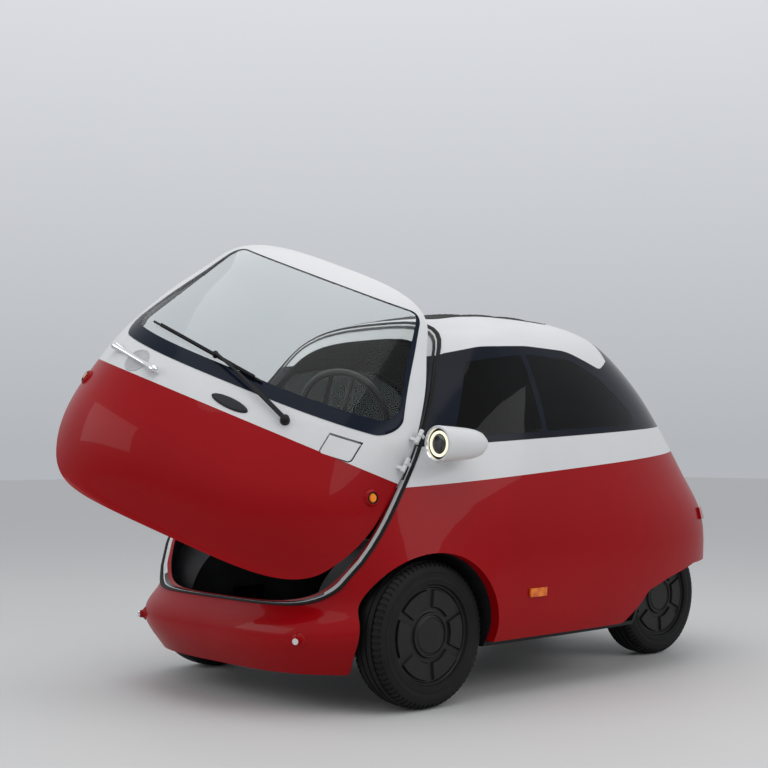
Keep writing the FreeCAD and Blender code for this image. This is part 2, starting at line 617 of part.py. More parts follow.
def build_running_gear():
    """Front axle beam with its steering pins, knuckles, and the rear axle with its motor."""
    beam = primitive("Box", "beam", Length="2 * (Sizes.kingpin_x + Sizes.knuckle_radius)",
                     Width="Sizes.beam_depth", Height="Sizes.beam_height",
                     place_x="-Sizes.kingpin_x - Sizes.knuckle_radius",
                     place_y=AXLE_Y + " - Sizes.beam_depth / 2",
                     place_z="Sizes.floor_underside - Sizes.beam_height")
    pins = []
    for side, word in ((1, "left"), (-1, "right")):
        pins.append(primitive(
            "Cylinder", "pin_" + word, Radius="Sizes.kingpin_radius",
            Height="Sizes.knuckle_drop * 2 + Sizes.axle_height - Sizes.floor_underside - 10",
            place_x=f"{side} * Sizes.kingpin_x", place_y=AXLE_Y,
            place_z="Sizes.floor_underside"))
    keep(fuse("front_axle_fused", beam, *pins), "front_axle")
    for side, word in ((1, "left"), (-1, "right")):
        sleeve = primitive(
            "Cylinder", "sleeve_" + word, Radius="Sizes.knuckle_radius",
            Height="2 * Sizes.knuckle_drop", place_x=f"{side} * Sizes.kingpin_x",
            place_y=AXLE_Y, place_z="Sizes.axle_height - Sizes.knuckle_drop")
        spindle = primitive(
            "Cylinder", "spindle_" + word, turn=Rotation(Vector(0, 1, 0), 90 * side),
            Radius="Sizes.spindle_radius",
            Height="Sizes.front_track_x + Sizes.tyre_width / 2 - Sizes.rim_face_depth "
                   "- Sizes.rim_disc - Sizes.kingpin_x",
            place_x=f"{side} * Sizes.kingpin_x", place_y=AXLE_Y, place_z="Sizes.axle_height")
        bore = primitive(
            "Cylinder", "bore_" + word, Radius="Sizes.kingpin_radius + Sizes.bearing_gap",
            Height="4 * Sizes.knuckle_drop", place_x=f"{side} * Sizes.kingpin_x",
            place_y=AXLE_Y, place_z="Sizes.axle_height - 2 * Sizes.knuckle_drop")
        solid = fuse("knuckle_solid_" + word, sleeve, spindle)
        keep(cut("knuckle_bored_" + word, solid, bore), "knuckle_" + word)
    tube = primitive("Cylinder", "tube", turn=ACROSS, Radius="Sizes.tube_radius",
                     Height="2 * (Sizes.rear_track_x - Sizes.tyre_width / 2 - 10)",
                     place_x="-Sizes.rear_track_x + Sizes.tyre_width / 2 + 10", place_y=REAR_Y,
                     place_z="Sizes.axle_height")
    stub = primitive("Cylinder", "stub", turn=ACROSS, Radius="Sizes.spindle_radius",
                     Height="2 * (Sizes.rear_track_x + Sizes.tyre_width / 2 "
                            "- Sizes.rim_face_depth - Sizes.rim_disc)",
                     place_x="-Sizes.rear_track_x - Sizes.tyre_width / 2 "
                             "+ Sizes.rim_face_depth + Sizes.rim_disc",
                     place_y=REAR_Y, place_z="Sizes.axle_height")
    arms = []
    for side, word in ((1, "left"), (-1, "right")):
        arms.append(primitive(
            "Box", "trailing_arm_" + word, Length="40",
            Width=f"{REAR_Y} - Sizes.front_axle_y - Sizes.bulkhead_behind - Sizes.floor_thickness",
            Height="50", place_x=f"{side} * 240 - 20",
            place_y=f"{AXLE_Y} + Sizes.bulkhead_behind + Sizes.floor_thickness",
            place_z="Sizes.axle_height - 25"))
    keep(fuse("rear_axle_fused", tube, stub, *arms), "rear_axle")
    case = primitive("Box", "motor_case", Length="Sizes.motor_width",
                     Width="Sizes.motor_length", Height="Sizes.motor_height",
                     place_x="-Sizes.motor_width / 2",
                     place_y=f"{REAR_Y} - Sizes.motor_length / 2",
                     place_z="Sizes.axle_height - Sizes.motor_height / 2")
    hole = primitive("Cylinder", "motor_hole", turn=ACROSS, Radius="Sizes.tube_radius",
                     Height="Sizes.motor_width * 2", place_x="-Sizes.motor_width",
                     place_y=REAR_Y, place_z="Sizes.axle_height")
    keep(cut("motor_on_axle", case, hole), "drive_motor")


def build_wheel(place, side, track, axle_y):
    """A tyre on its rim; the rim's hub turns on a stub."""
    turn = Rotation(Vector(0, 1, 0), 90)
    middle = f"{side} * Sizes.{track}"
    at = dict(place_y=axle_y, place_z="Sizes.axle_height")
    outside = primitive("Cylinder", "tyre_outside_" + place, turn=turn,
                        Radius="Sizes.tyre_radius", Height="Sizes.tyre_width",
                        place_x=f"{middle} - Sizes.tyre_width / 2", **at)
    inside = primitive("Cylinder", "tyre_inside_" + place, turn=turn,
                       Radius="Sizes.rim_radius", Height="Sizes.tyre_width * 2",
                       place_x=f"{middle} - Sizes.tyre_width", **at)
    ring = cut("tyre_ring_" + place, outside, inside)
    document.recompute()
    tyre = document.addObject("Part::Fillet", "tyre_rounded_" + place)
    tyre.Base = ring
    rims = [k for k, edge in enumerate(ring.Shape.Edges, start=1)
            if edge.Curve.TypeId == "Part::GeomCircle"
            and abs(edge.Curve.Radius - size("tyre_radius")) < 1e-3]
    tyre.Edges = [(k, size("tyre_shoulder"), size("tyre_shoulder")) for k in rims]
    keep(tyre, "tyre_" + place)
    face_x = f"{side} * (Sizes.{track} + Sizes.tyre_width / 2 - Sizes.rim_face_depth)"
    barrel = primitive("Cylinder", "barrel_" + place, turn=turn, Radius="Sizes.rim_radius",
                       Height="Sizes.tyre_width", place_x=f"{middle} - Sizes.tyre_width / 2", **at)
    hollow = primitive("Cylinder", "hollow_" + place, turn=turn,
                       Radius="Sizes.rim_radius - Sizes.rim_wall",
                       Height="Sizes.tyre_width * 2", place_x=f"{middle} - Sizes.tyre_width", **at)
    inward = Rotation(Vector(0, 1, 0), -90 * side)
    disc = primitive("Cylinder", "disc_" + place, turn=inward, Radius="Sizes.rim_radius",
                     Height="Sizes.rim_disc", place_x=face_x, **at)
    hub = primitive("Cylinder", "hub_" + place, turn=inward, Radius="Sizes.hub_radius",
                    Height="Sizes.rim_disc + Sizes.hub_length", place_x=face_x, **at)
    bore = primitive("Cylinder", "hub_bore_" + place, turn=inward,
                     Radius="Sizes.spindle_radius + Sizes.bearing_gap",
                     Height="Sizes.hub_length + Sizes.tyre_width",
                     place_x=f"{face_x} - {side} * (Sizes.rim_disc - Sizes.bearing_gap)", **at)
    drum = cut("drum_" + place, barrel, hollow)
    solid = fuse("rim_solid_" + place, drum, disc, hub)
    keep(cut("rim_bored_" + place, solid, bore), "rim_" + place)


def build_cabin():
    """Battery under the bench, and the bench's cushion and back."""
    low = "Sizes.floor_underside + Sizes.floor_thickness"
    battery = primitive("Box", "battery_block", Length="Sizes.battery_width",
                        Width="Sizes.battery_length", Height="Sizes.battery_height",
                        place_x="-Sizes.battery_width / 2",
                        place_y=f"{AXLE_Y} + Sizes.battery_behind", place_z=low)
    keep(battery, "battery_pack")
    cushion = primitive("Box", "cushion_block", Length="Sizes.cushion_width",
                        Width="Sizes.cushion_length", Height="Sizes.cushion_height",
                        place_x="-Sizes.cushion_width / 2",
                        place_y=f"{AXLE_Y} + Sizes.battery_behind",
                        place_z=f"{low} + Sizes.battery_height + Sizes.soft_gap")
    keep(cushion, "seat_cushion")
    back = primitive("Box", "backrest_block", Length="Sizes.cushion_width",
                     Width="Sizes.backrest_thickness - 2 * Sizes.soft_gap",
                     Height="Sizes.backrest_height", place_x="-Sizes.cushion_width / 2",
                     place_y=f"{AXLE_Y} + Sizes.bulkhead_behind - Sizes.backrest_thickness"
                             " + Sizes.soft_gap",
                     place_z=f"{low} + Sizes.battery_height + Sizes.soft_gap * 2")
    keep(back, "seat_back")


def skin_frame(guess):
    """Placement on the body's skin nearest to a point, with Z pointing out of the body."""
    u, v = OUTER.parameter(guess)
    point = OUTER.value(u, v)
    out = OUTER.normal(u, v)
    if out.dot(point - Vector(0, behind(600), point.z)) < 0:
        out = -out
    side = Vector(0, 0, 1).cross(out).normalize()
    up = out.cross(side)
    return Placement(point + out * size("soft_gap"), Rotation(side, up, out, "ZXY"))


def nose_point(x, height):
    """The point of the nose's skin at an X and a height, found by ever finer steps."""
    def miss(place):
        point = OUTER.value(*place)
        return math.hypot(point.x - x, point.z - height)

    top = OUTER_PLACES[-1]
    places = [(u / 2, top * level / 60) for u in range(2 * COLUMNS) for level in range(61)]
    place = min((p for p in places if OUTER.value(*p).y < behind(500)), key=miss)
    step = (0.5, top / 60)
    for _ in range(16):
        around = [(place[0] + a * step[0], min(max(place[1] + b * step[1], 0), top))
                  for a in (-1, 0, 1) for b in (-1, 0, 1)]
        place = min(around, key=miss)
        step = (step[0] / 2, step[1] / 2)
    return OUTER.value(*place)


def build_pods():
    """Lamp and mirror pods on stalks beside the windscreen pillars."""
    shells = []
    lamps = []
    start = Vector(size("pod_x"), behind(size("pod_behind")), size("pod_height"))
    radius = size("pod_radius")
    bezel = size("bezel_depth")
    length = size("pod_length")
    back = Vector(0, 1, 0)
    barrel = Part.makeCone(radius, radius * 0.72, length - bezel, start + back * bezel, back)
    barrel = barrel.makeFillet(24, [e for e in barrel.Edges
                                    if e.CenterOfMass.y > start.y + length - 1
                                    and e.Curve.TypeId == "Part::GeomCircle"])
    foot = skin_frame(start + Vector(-130, bezel + 90, -10))
    stalk = Part.makeCylinder(16, 110)
    stalk.Placement = foot
    shells.append(barrel.fuse(stalk).removeSplitter())
    ring = Part.makeCylinder(radius, bezel, start, back)
    dish = Part.makeCylinder(radius - 10, bezel - 12, start, back)
    lens = Part.makeCylinder(radius - 26, bezel - 6, start + back * 4, back)
    lamps.append(ring.cut(dish).fuse(lens).removeSplitter())
    keep(feature("pod_shells", Part.makeCompound(shells + [mirrored(s) for s in shells])),
         "mirror_pods")
    keep(feature("lamp_units", Part.makeCompound(lamps + [mirrored(s) for s in lamps])),
         "headlamps")


def steering_line():
    """The steering wheel's centre, and its axis, which points to the driver."""
    tilt = math.radians(size("wheel_tilt"))
    centre = Vector(size("wheel_x"), behind(size("wheel_behind")), size("wheel_height"))
    return centre, Vector(0, math.cos(tilt), math.sin(tilt))


def build_steering():
    """Steering column on the door, with its wheel, as on the bubble cars of old."""
    centre, out = steering_line()
    column = Part.makeCylinder(size("column_radius"), 700, centre - out * 40, -out)
    column = max(column.common(wall_inner).Solids, key=lambda solid: solid.Volume)
    keep(feature("column_tube", column), "steering_column", DOOR_SWING)
    rim = Part.makeTorus(size("wheel_radius"), size("wheel_grip"), centre, out)
    boss = Part.makeCylinder(34, 36, centre - out * 39.6, out)
    solid = [rim, boss]
    for angle in (0, 180, 270):
        direction = Rotation(out, angle).multVec(Vector(1, 0, 0))
        solid.append(Part.makeCylinder(9, size("wheel_radius"), centre - out * 20, direction
                                       + out * (20 / size("wheel_radius"))))
    wheel = solid[0].fuse(solid[1:]).removeSplitter()
    keep(feature("wheel_rim", wheel), "steering_wheel", DOOR_SWING)


def build_dash():
    """Shelf along the lower edge of the windscreen, inside the door."""
    zone = front_prism(((540, 880, 20), (-540, 880, 20), (-520, 925, 10), (520, 925, 10)), -600, 30)
    shelf = wall_inner.cut(hull(size("wall") + 90)).common(zone).common(door_zone)
    centre, out = steering_line()
    room = Part.makeCylinder(size("column_radius") + size("soft_gap"), FAR, centre, -out)
    keep(feature("dash_shelf", shelf.cut(room)), "dash_panel", DOOR_SWING)


def on_nose(shape, x, height):
    """Stands a shape, drawn about the origin with Z outwards, on the nose."""
    shape.Placement = skin_frame(nose_point(x, height))
    return shape


def build_small_parts():
    """Handle, indicators, lamps and markers."""
    posts = []
    tips = []
    for x in (-520, -300):
        frame = skin_frame(nose_point(x, 865))
        post = Part.makeCylinder(8, 30)
        post.Placement = frame
        posts.append(post)
        tips.append(frame.multVec(Vector(0, 0, 26)))
    along = (tips[1] - tips[0]).normalize()
    bar = Part.makeCylinder(9, tips[0].distanceToPoint(tips[1]) + 24, tips[0] - along * 12, along)
    keep(feature("handle_bar", bar.fuse(posts).removeSplitter()), "door_handle", DOOR_SWING)
    lenses = [on_nose(Part.makeCone(20, 13, 11), x, 722) for x in (-594, 594)]
    keep(feature("indicator_lenses", Part.makeCompound(lenses)), "indicators", DOOR_SWING)
    marker = Part.makeBox(88, 32, 8, Vector(-44, -16, 0.6))
    marker.Placement = skin_frame(Vector(760, behind(485), 380))
    keep(feature("marker_lenses", Part.makeCompound([marker, mirrored(marker)])), "side_markers")
    block = Part.makeBox(110, 300, 50, Vector(525, behind(1700), 600))
    lamp = max(block.common(hull(-10).cut(wall_outer)).Solids, key=lambda solid: solid.Volume)
    keep(feature("lamp_lenses", Part.makeCompound([lamp, mirrored(lamp)])), "tail_lamps")
    buttons = [on_nose(Part.makeCylinder(11, 26), x, 262) for x in (-485, 485)]
    keep(feature("apron_stalks", Part.makeCompound(buttons)), "apron_buttons")


def gate_axis():
    """A point in the centre plane on the tailgate's hinge axis, which runs across the car."""
    guess = Vector(size("gate_hinge_x"), behind(size("roof_end") + SEAM / 2), HIGH)
    frame = skin_frame(guess)
    for _ in range(4):
        guess = Vector(guess.x, guess.y, frame.Base.z + guess.x - frame.Base.x)
        frame = skin_frame(guess)
    return Vector(0, guess.y, frame.Base.z + size("gate_hinge_lift"))


def flap_axis():
    """A point on the service flap's hinge pin, just inside its upper edge, and the pin's line."""
    half = size("flap_width") / 2
    height = size("flap_bottom") + size("flap_height") - size("flap_top_seam") - size("flap_pin_radius")
    ends = []
    for side in (-1, 1):
        frame = skin_frame(nose_point(size("flap_x") + side * half, height))
        depth = size("soft_gap") + size("flap_pin_radius") + 1
        ends.append(frame.multVec(Vector(0, 0, -depth)))
    axis = (ends[0] - ends[1]).normalize()
    return ends[0] + axis * ((size("flap_x") - ends[0].x) / axis.x), axis


GATE_AXIS = gate_axis()
FLAP_POINT, FLAP_AXIS = flap_axis()
build_body()
build_tailgate()
build_door()
build_hinges()
build_floor()
build_housings()
build_running_gear()
for corner, direction, track_name, axle in (
        ("front_left", 1, "front_track_x", AXLE_Y), ("front_right", -1, "front_track_x", AXLE_Y),
        ("rear_left", 1, "rear_track_x", REAR_Y), ("rear_right", -1, "rear_track_x", REAR_Y)):
    build_wheel(corner, direction, track_name, axle)
build_cabin()
build_pods()
build_steering()
build_dash()
build_small_parts()
document.recompute()

for item in document.Objects:
    if "Invalid" in item.State or "Error" in item.State:
        raise RuntimeError(f"{item.Label} did not build: {item.State}")
os.makedirs("parts", exist_ok=True)
for item in subparts:
    shape = item.Shape
    if shape.isNull() or not shape.isValid() or not shape.Solids:
        raise RuntimeError(f"{item.Label} has no valid solid")
    shape.exportStep(f"parts/{item.Label}.step")
    box = shape.BoundBox
    print(f"{item.Label}: {len(shape.Solids)} solid, {shape.Volume / 1e6:.2f} litres,"
          f" X {box.XMin:.0f} to {box.XMax:.0f}, Y {box.YMin:.0f} to {box.YMax:.0f},"
          f" Z {box.ZMin:.0f} to {box.ZMax:.0f}")
for title, point in (("tailgate hinge", GATE_AXIS), ("flap hinge", FLAP_POINT), ("flap line", FLAP_AXIS)):
    print(title, [round(value, 4) for value in point])
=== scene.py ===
import json
import math

import bmesh
import bpy
from mathutils import Matrix, Vector
from mathutils.kdtree import KDTree


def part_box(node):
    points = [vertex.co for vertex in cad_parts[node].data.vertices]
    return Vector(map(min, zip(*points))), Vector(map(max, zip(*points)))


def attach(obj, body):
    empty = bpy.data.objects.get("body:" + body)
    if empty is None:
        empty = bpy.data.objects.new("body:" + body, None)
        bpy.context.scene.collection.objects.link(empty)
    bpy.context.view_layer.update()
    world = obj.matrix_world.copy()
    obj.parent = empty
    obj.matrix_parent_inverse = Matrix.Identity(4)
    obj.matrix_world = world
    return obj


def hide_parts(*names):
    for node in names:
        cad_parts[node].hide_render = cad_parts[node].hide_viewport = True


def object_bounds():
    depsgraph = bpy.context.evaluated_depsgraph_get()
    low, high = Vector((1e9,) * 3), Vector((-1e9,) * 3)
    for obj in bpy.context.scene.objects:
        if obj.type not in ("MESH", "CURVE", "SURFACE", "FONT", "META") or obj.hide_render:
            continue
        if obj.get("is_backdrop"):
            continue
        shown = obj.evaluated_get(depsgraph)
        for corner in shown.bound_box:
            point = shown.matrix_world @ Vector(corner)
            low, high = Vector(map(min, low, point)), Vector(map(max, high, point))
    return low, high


# The car stands in a plain pale studio, seen from its left front corner at the height of
# its windscreen, with a level view. Its front door is open, as it is stored.
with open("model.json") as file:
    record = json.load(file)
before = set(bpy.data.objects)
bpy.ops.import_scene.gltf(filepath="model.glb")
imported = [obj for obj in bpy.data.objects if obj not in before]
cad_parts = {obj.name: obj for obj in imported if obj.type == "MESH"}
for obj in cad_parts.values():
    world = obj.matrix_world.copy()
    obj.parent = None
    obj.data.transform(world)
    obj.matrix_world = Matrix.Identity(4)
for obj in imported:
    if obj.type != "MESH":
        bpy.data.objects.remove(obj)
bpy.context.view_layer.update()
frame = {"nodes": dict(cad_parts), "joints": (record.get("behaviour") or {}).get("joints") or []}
NODES = frame["nodes"]
bpy.ops.object.select_all(action="DESELECT")

EYE = Vector((4.012, -3.761, 0.914))
EYE_TURN = math.radians(48.1)
PHOTO_SIDE = 768
PHOTO_MIDDLE = 384
PHOTO_HORIZON = 447.08
PHOTO_FOCUS = 1326.4
SENSOR = 36.0
eye_data = bpy.data.cameras.new("studio_camera")
eye_data.sensor_width = SENSOR
eye_data.lens = SENSOR * PHOTO_FOCUS / PHOTO_SIDE
eye_data.shift_y = (PHOTO_HORIZON - PHOTO_MIDDLE) / PHOTO_SIDE
eye = bpy.data.objects.new("studio_camera", eye_data)
eye.location = EYE
eye.rotation_euler = (math.radians(90), 0, EYE_TURN)
bpy.context.scene.collection.objects.link(eye)
bpy.context.scene.camera = eye
bpy.context.scene.view_settings.view_transform = "Standard"


def ramp(nodes, low, dark, high, light):
    """A ramp from one tone to another, between two values."""
    tones = nodes.new("ShaderNodeValToRGB")
    for stop, place, colour in zip(tones.color_ramp.elements, (low, high), (dark, light)):
        stop.position = place
        stop.color = (*colour, 1)
    return tones


TONE_LOW = 0.35
TONE_HIGH = 0.65
GRAIN_STRENGTH = 0.35


def surface(name, dark, light, cloud, rough, grain, depth, **fixed):
    """A finish whose tone and roughness drift between two values, with a fine grain.

    cloud and grain are the scales of the drift and of the grain, and depth is the grain's
    height in metres. What else is given is set on the shader's socket of that name.
    """
    made = bpy.data.materials.new(name)
    made.use_nodes = True
    nodes = made.node_tree.nodes
    links = made.node_tree.links
    shader = nodes["Principled BSDF"]
    place = nodes.new("ShaderNodeTexCoord")
    drift = nodes.new("ShaderNodeTexNoise")
    drift.inputs["Scale"].default_value = cloud
    drift.inputs["Detail"].default_value = 4
    tones = ramp(nodes, TONE_LOW, dark, TONE_HIGH, light)
    gloss = nodes.new("ShaderNodeMapRange")
    gloss.inputs["To Min"].default_value = rough[0]
    gloss.inputs["To Max"].default_value = rough[1]
    fine = nodes.new("ShaderNodeTexNoise")
    fine.inputs["Scale"].default_value = grain
    bump = nodes.new("ShaderNodeBump")
    bump.inputs["Strength"].default_value = GRAIN_STRENGTH
    bump.inputs["Distance"].default_value = depth
    links.new(place.outputs["Object"], drift.inputs["Vector"])
    links.new(place.outputs["Object"], fine.inputs["Vector"])
    links.new(drift.outputs["Fac"], tones.inputs["Fac"])
    links.new(drift.outputs["Fac"], gloss.inputs["Value"])
    links.new(tones.outputs["Color"], shader.inputs["Base Color"])
    links.new(gloss.outputs["Result"], shader.inputs["Roughness"])
    links.new(fine.outputs["Fac"], bump.inputs["Height"])
    links.new(bump.outputs["Normal"], shader.inputs["Normal"])
    for socket, value in fixed.items():
        shader.inputs[socket.replace("_", " ")].default_value = value
    return made


def dress(made, *names):
    """Gives CAD nodes a material."""
    for name in names:
        NODES[name].data.materials.clear()
        NODES[name].data.materials.append(made)


FLOOR_SIDE = 60.0
bpy.ops.mesh.primitive_plane_add(size=FLOOR_SIDE)
floor = bpy.context.object
floor.name = "studio_floor"
floor.data.materials.append(surface("pale_floor", (0.585, 0.585, 0.575), (0.60, 0.60, 0.59), 0.6,
                                    (0.55, 0.7), 90, 0.0003))
floor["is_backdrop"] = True

# The room's air lights the car from all round. Where it shows, is mirrored or is seen through
# glass, it is pale high up and greyer towards the floor, as a lit studio wall is.
world = bpy.data.worlds.new("studio_air")
world.use_nodes = True
bpy.context.scene.world = world
air_nodes = world.node_tree.nodes
air_links = world.node_tree.links
air = air_nodes["Background"]
air.inputs["Color"].default_value = (0.93, 0.95, 1.0, 1)
air.inputs["Strength"].default_value = 0.62
backdrop = air_nodes.new("ShaderNodeBackground")
backdrop.inputs["Strength"].default_value = 0.9
sky_way = air_nodes.new("ShaderNodeTexCoord")
sky_split = air_nodes.new("ShaderNodeSeparateXYZ")
sky_tones = ramp(air_nodes, 0.0, (0.50, 0.52, 0.55), 0.45, (0.90, 0.92, 0.96))
seen = air_nodes.new("ShaderNodeLightPath")
pick_air = air_nodes.new("ShaderNodeMixShader")
air_links.new(sky_way.outputs["Generated"], sky_split.inputs["Vector"])
air_links.new(sky_split.outputs["Z"], sky_tones.inputs["Fac"])
air_links.new(sky_tones.outputs["Color"], backdrop.inputs["Color"])
shown = seen.outputs["Is Camera Ray"]
for kind in ("Is Glossy Ray", "Is Transmission Ray"):
    either = air_nodes.new("ShaderNodeMath")
    either.operation = "MAXIMUM"
    air_links.new(shown, either.inputs[0])
    air_links.new(seen.outputs[kind], either.inputs[1])
    shown = either.outputs["Value"]
air_links.new(shown, pick_air.inputs["Fac"])
air_links.new(air.outputs["Background"], pick_air.inputs[1])
air_links.new(backdrop.outputs["Background"], pick_air.inputs[2])
air_links.new(pick_air.outputs["Shader"], air_nodes["World Output"].inputs["Surface"])


def soft_lamp(name, place, target, width, height, watts):
    """A flat lamp that looks at a target."""
    data = bpy.data.lights.new(name, "AREA")
    data.shape = "RECTANGLE"
    data.size = width
    data.size_y = height
    data.energy = watts
    lamp = bpy.data.objects.new(name, data)
    lamp.location = place
    aim = Vector(target) - Vector(place)
    lamp.rotation_euler = aim.to_track_quat("-Z", "Y").to_euler()
    bpy.context.scene.collection.objects.link(lamp)


soft_lamp("top_lamp", (0.5, -0.5, 4.6), (0, 0, 0.5), 4.0, 5.0, 80)
soft_lamp("front_lamp", (-2.5, -5.5, 3.2), (0, 0, 0.6), 4.5, 2.5, 60)
soft_lamp("side_lamp", (5.5, 1.5, 3.2), (0, 0, 0.6), 6.0, 2.4, 80)

# The body's panels are pressed steel, welded and sprayed in solid red below the paint line,
# under clear lacquer whose skin is very slightly uneven.
LACQUER = {"Coat_Weight": 0.2, "Coat_Roughness": 0.03, "Specular_IOR_Level": 0.05}
red = surface("red_paint", (0.285, 0.0010, 0.0034), (0.305, 0.0012, 0.0038), 2.2, (0.32, 0.38),
              240, 0.00004, **LACQUER)
dress(red, "lower_body", "front_apron", "tailgate_lower", "door_lower")

# The belt, the roof, the tailgate's band and the upper half of the door are of the same
# pressed steel, sprayed white above the paint line.
white = surface("white_paint", (0.62, 0.63, 0.635), (0.65, 0.655, 0.655), 2.2, (0.3, 0.36),
                240, 0.00004, **LACQUER)
dress(white, "belt", "roof", "tailgate_band", "door_upper", "service_flap")

# The frame between the windows is pressed sheet in near-black navy lacquer, and so is the
# tailgate's upper frame.
night = surface("night_lacquer", (0.004, 0.006, 0.012), (0.006, 0.009, 0.016), 5, (0.12, 0.2),
                240, 0.00003, Specular_IOR_Level=0.1)
dress(night, "window_frame", "tailgate_frame", "tailgate_hinges")


# The cabin is lined with moulded felt-backed panels, nearly black, glued to the inside of
# the walls. The door and the tailgate have their own linings.
def piece_of(name, work):
    """A new piece from a mesh that was worked on."""
    mesh = bpy.data.meshes.new(name)
    work.to_mesh(mesh)
    work.free()
    piece = bpy.data.objects.new(name, mesh)
    bpy.context.scene.collection.objects.link(piece)
    return piece


SAME_POINT = 0.00002


def merged_copy(name, *nodes):
    """A copy of CAD nodes as one mesh, with the corners of its triangles joined."""
    work = bmesh.new()
    for node in nodes:
        work.from_mesh(NODES[node].data)
    bmesh.ops.remove_doubles(work, verts=work.verts, dist=SAME_POINT)
    return piece_of(name, work)


def only(piece):
    """Selects one piece and nothing else."""
    bpy.ops.object.select_all(action="DESELECT")
    piece.select_set(True)
    bpy.context.view_layer.objects.active = piece


def thicken(piece, wall):
    """Gives a skin its wall, on the side its faces look away from."""
    only(piece)
    skin = piece.modifiers.new("wall", "SOLIDIFY")
    skin.thickness = wall
    skin.offset = -1
    bpy.ops.object.modifier_apply(modifier="wall")


def complete(piece, look, body, angle=35):
    """Smooths a piece, dresses it and fixes it to its body."""
    only(piece)
    bpy.ops.object.shade_smooth_by_angle(angle=math.radians(angle))
    piece.data.materials.clear()
    piece.data.materials.append(look)
    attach(piece, body)


# The car is stored with its door open. door_shut takes a point of the door back to where it
# lies with the door shut, and the hearts are points in the middle of the cabin and the door.
DOOR = next(joint for joint in frame["joints"] if joint["name"] == "front_door_hinge")
DOOR_OPEN = math.radians(35.9)
DOOR_PIN = Vector(DOOR["pos_m"])
door_shut = (Matrix.Translation(DOOR_PIN) @ Matrix.Rotation(-DOOR_OPEN, 4, Vector(DOOR["axis"]))
             @ Matrix.Translation(-DOOR_PIN))
door_swung = door_shut.inverted()
CABIN_HEART = Vector((0, 0.1, 0.8))
DOOR_HEART = door_swung @ Vector((0, 0.1, 0.75))
HULL = ("lower_body", "front_apron", "belt", "window_frame", "roof")
AXLE_Y = -0.560
SEAM_LEAN = 0.66
SEAM_AHEAD = 0.020
SEAM_HEIGHT = 0.860
seam_out = Vector((0, -1, SEAM_LEAN)).normalized()


def seam_point(height):
    """The middle of the door's leaning seam at a height, with the door shut."""
    return Vector((0, AXLE_Y - SEAM_AHEAD + SEAM_LEAN * (height - SEAM_HEIGHT), height))


MIDDLE_HEIGHT = 0.95
SEAM_MIDDLE = seam_point(MIDDLE_HEIGHT)
NEAR_SEAM = 0.020
ALONG_SEAM = 0.9
FOOT_TOP = 0.375
LEVEL = 0.97


def cut_edge(place, normal):
    """True on the cut edges round the door opening, as they lie with the door shut."""
    if abs(normal.z) > LEVEL and place.z < FOOT_TOP:
        return True
    away = abs((place - SEAM_MIDDLE).dot(seam_out))
    return abs(normal.dot(seam_out)) > ALONG_SEAM and away < NEAR_SEAM


FACES_HEART = 0.3
LINING_LIFT = 0.002
LINING_WALL = 0.0012
AS_STORED = Matrix.Identity(4)
felt = surface("lining_felt", (0.006, 0.006, 0.007), (0.012, 0.012, 0.013), 30, (0.6, 0.8),
               900, 0.0004, Specular_IOR_Level=0.2)


def lining(name, heart, shut, body, *nodes):
    """The inner faces of some panels but not their cut edges, a little nearer to the heart."""
    piece = merged_copy(name, *nodes)
    work = bmesh.new()
    work.from_mesh(piece.data)
    work.normal_update()
    left_out = []
    for face in work.faces:
        place = face.calc_center_median()
        if ((heart - place).normalized().dot(face.normal) < FACES_HEART
                or cut_edge(shut @ place, shut.to_3x3() @ face.normal)):
            left_out.append(face)
    bmesh.ops.delete(work, geom=left_out, context="FACES")
    work.normal_update()
    for corner in work.verts:
        corner.co += LINING_LIFT * corner.normal
    work.to_mesh(piece.data)
    work.free()
    thicken(piece, LINING_WALL)
    complete(piece, felt, body)


lining("cabin_lining", CABIN_HEART, AS_STORED, "body", *HULL)
lining("door_lining", DOOR_HEART, door_shut, "front_door", "door_lower", "door_upper")
lining("gate_lining", CABIN_HEART, AS_STORED, "tailgate", "tailgate_lower", "tailgate_band",
       "tailgate_frame")

# Round the door opening runs a hollow rubber seal, pushed on the flange, and beside it a
# thin painted lip. The faces of the jambs are white below and black above, and the foot's
# face is black.
DOOR_FOOT = 0.368
FOOT_ROUND = 0.150
INTO_WALL = 0.012
DEEP_IN_WALL = 0.030
OUTSIDE = 2.0
OVER_CUT = 0.05
CUT_REACH = 0.08
seam_up = Vector((0, SEAM_LEAN, 1)).normalized()


def hull_hit(start, way, reach):
    """The first point of the body's shell on a ray, or None."""
    best = None
    for node in HULL:
        struck, point, normal, index = NODES[node].ray_cast(start, way, distance=reach)
        if struck and (best is None or (point - start).length < (best[0] - start).length):
            best = (point, normal)
    return best


def flange(middle, way, out):
    """A station on the flange: where a ray from outside meets the shell, then its cut face."""
    skin = hull_hit(middle - OUTSIDE * way - INTO_WALL * out, way, OUTSIDE)
    if skin is None:
        return None
    across = (out * skin[1].dot(out) - skin[1]).normalized()
    face = hull_hit(skin[0] + INTO_WALL * across + OVER_CUT * out, -out, CUT_REACH)
    if face is None:
        return None
    deeper = hull_hit(skin[0] + DEEP_IN_WALL * across + OVER_CUT * out, -out, CUT_REACH)
    if deeper is not None:
        across = (deeper[0] - face[0]).normalized()
        out = (out - out.dot(across) * across).normalized()
    return face[0], across, out


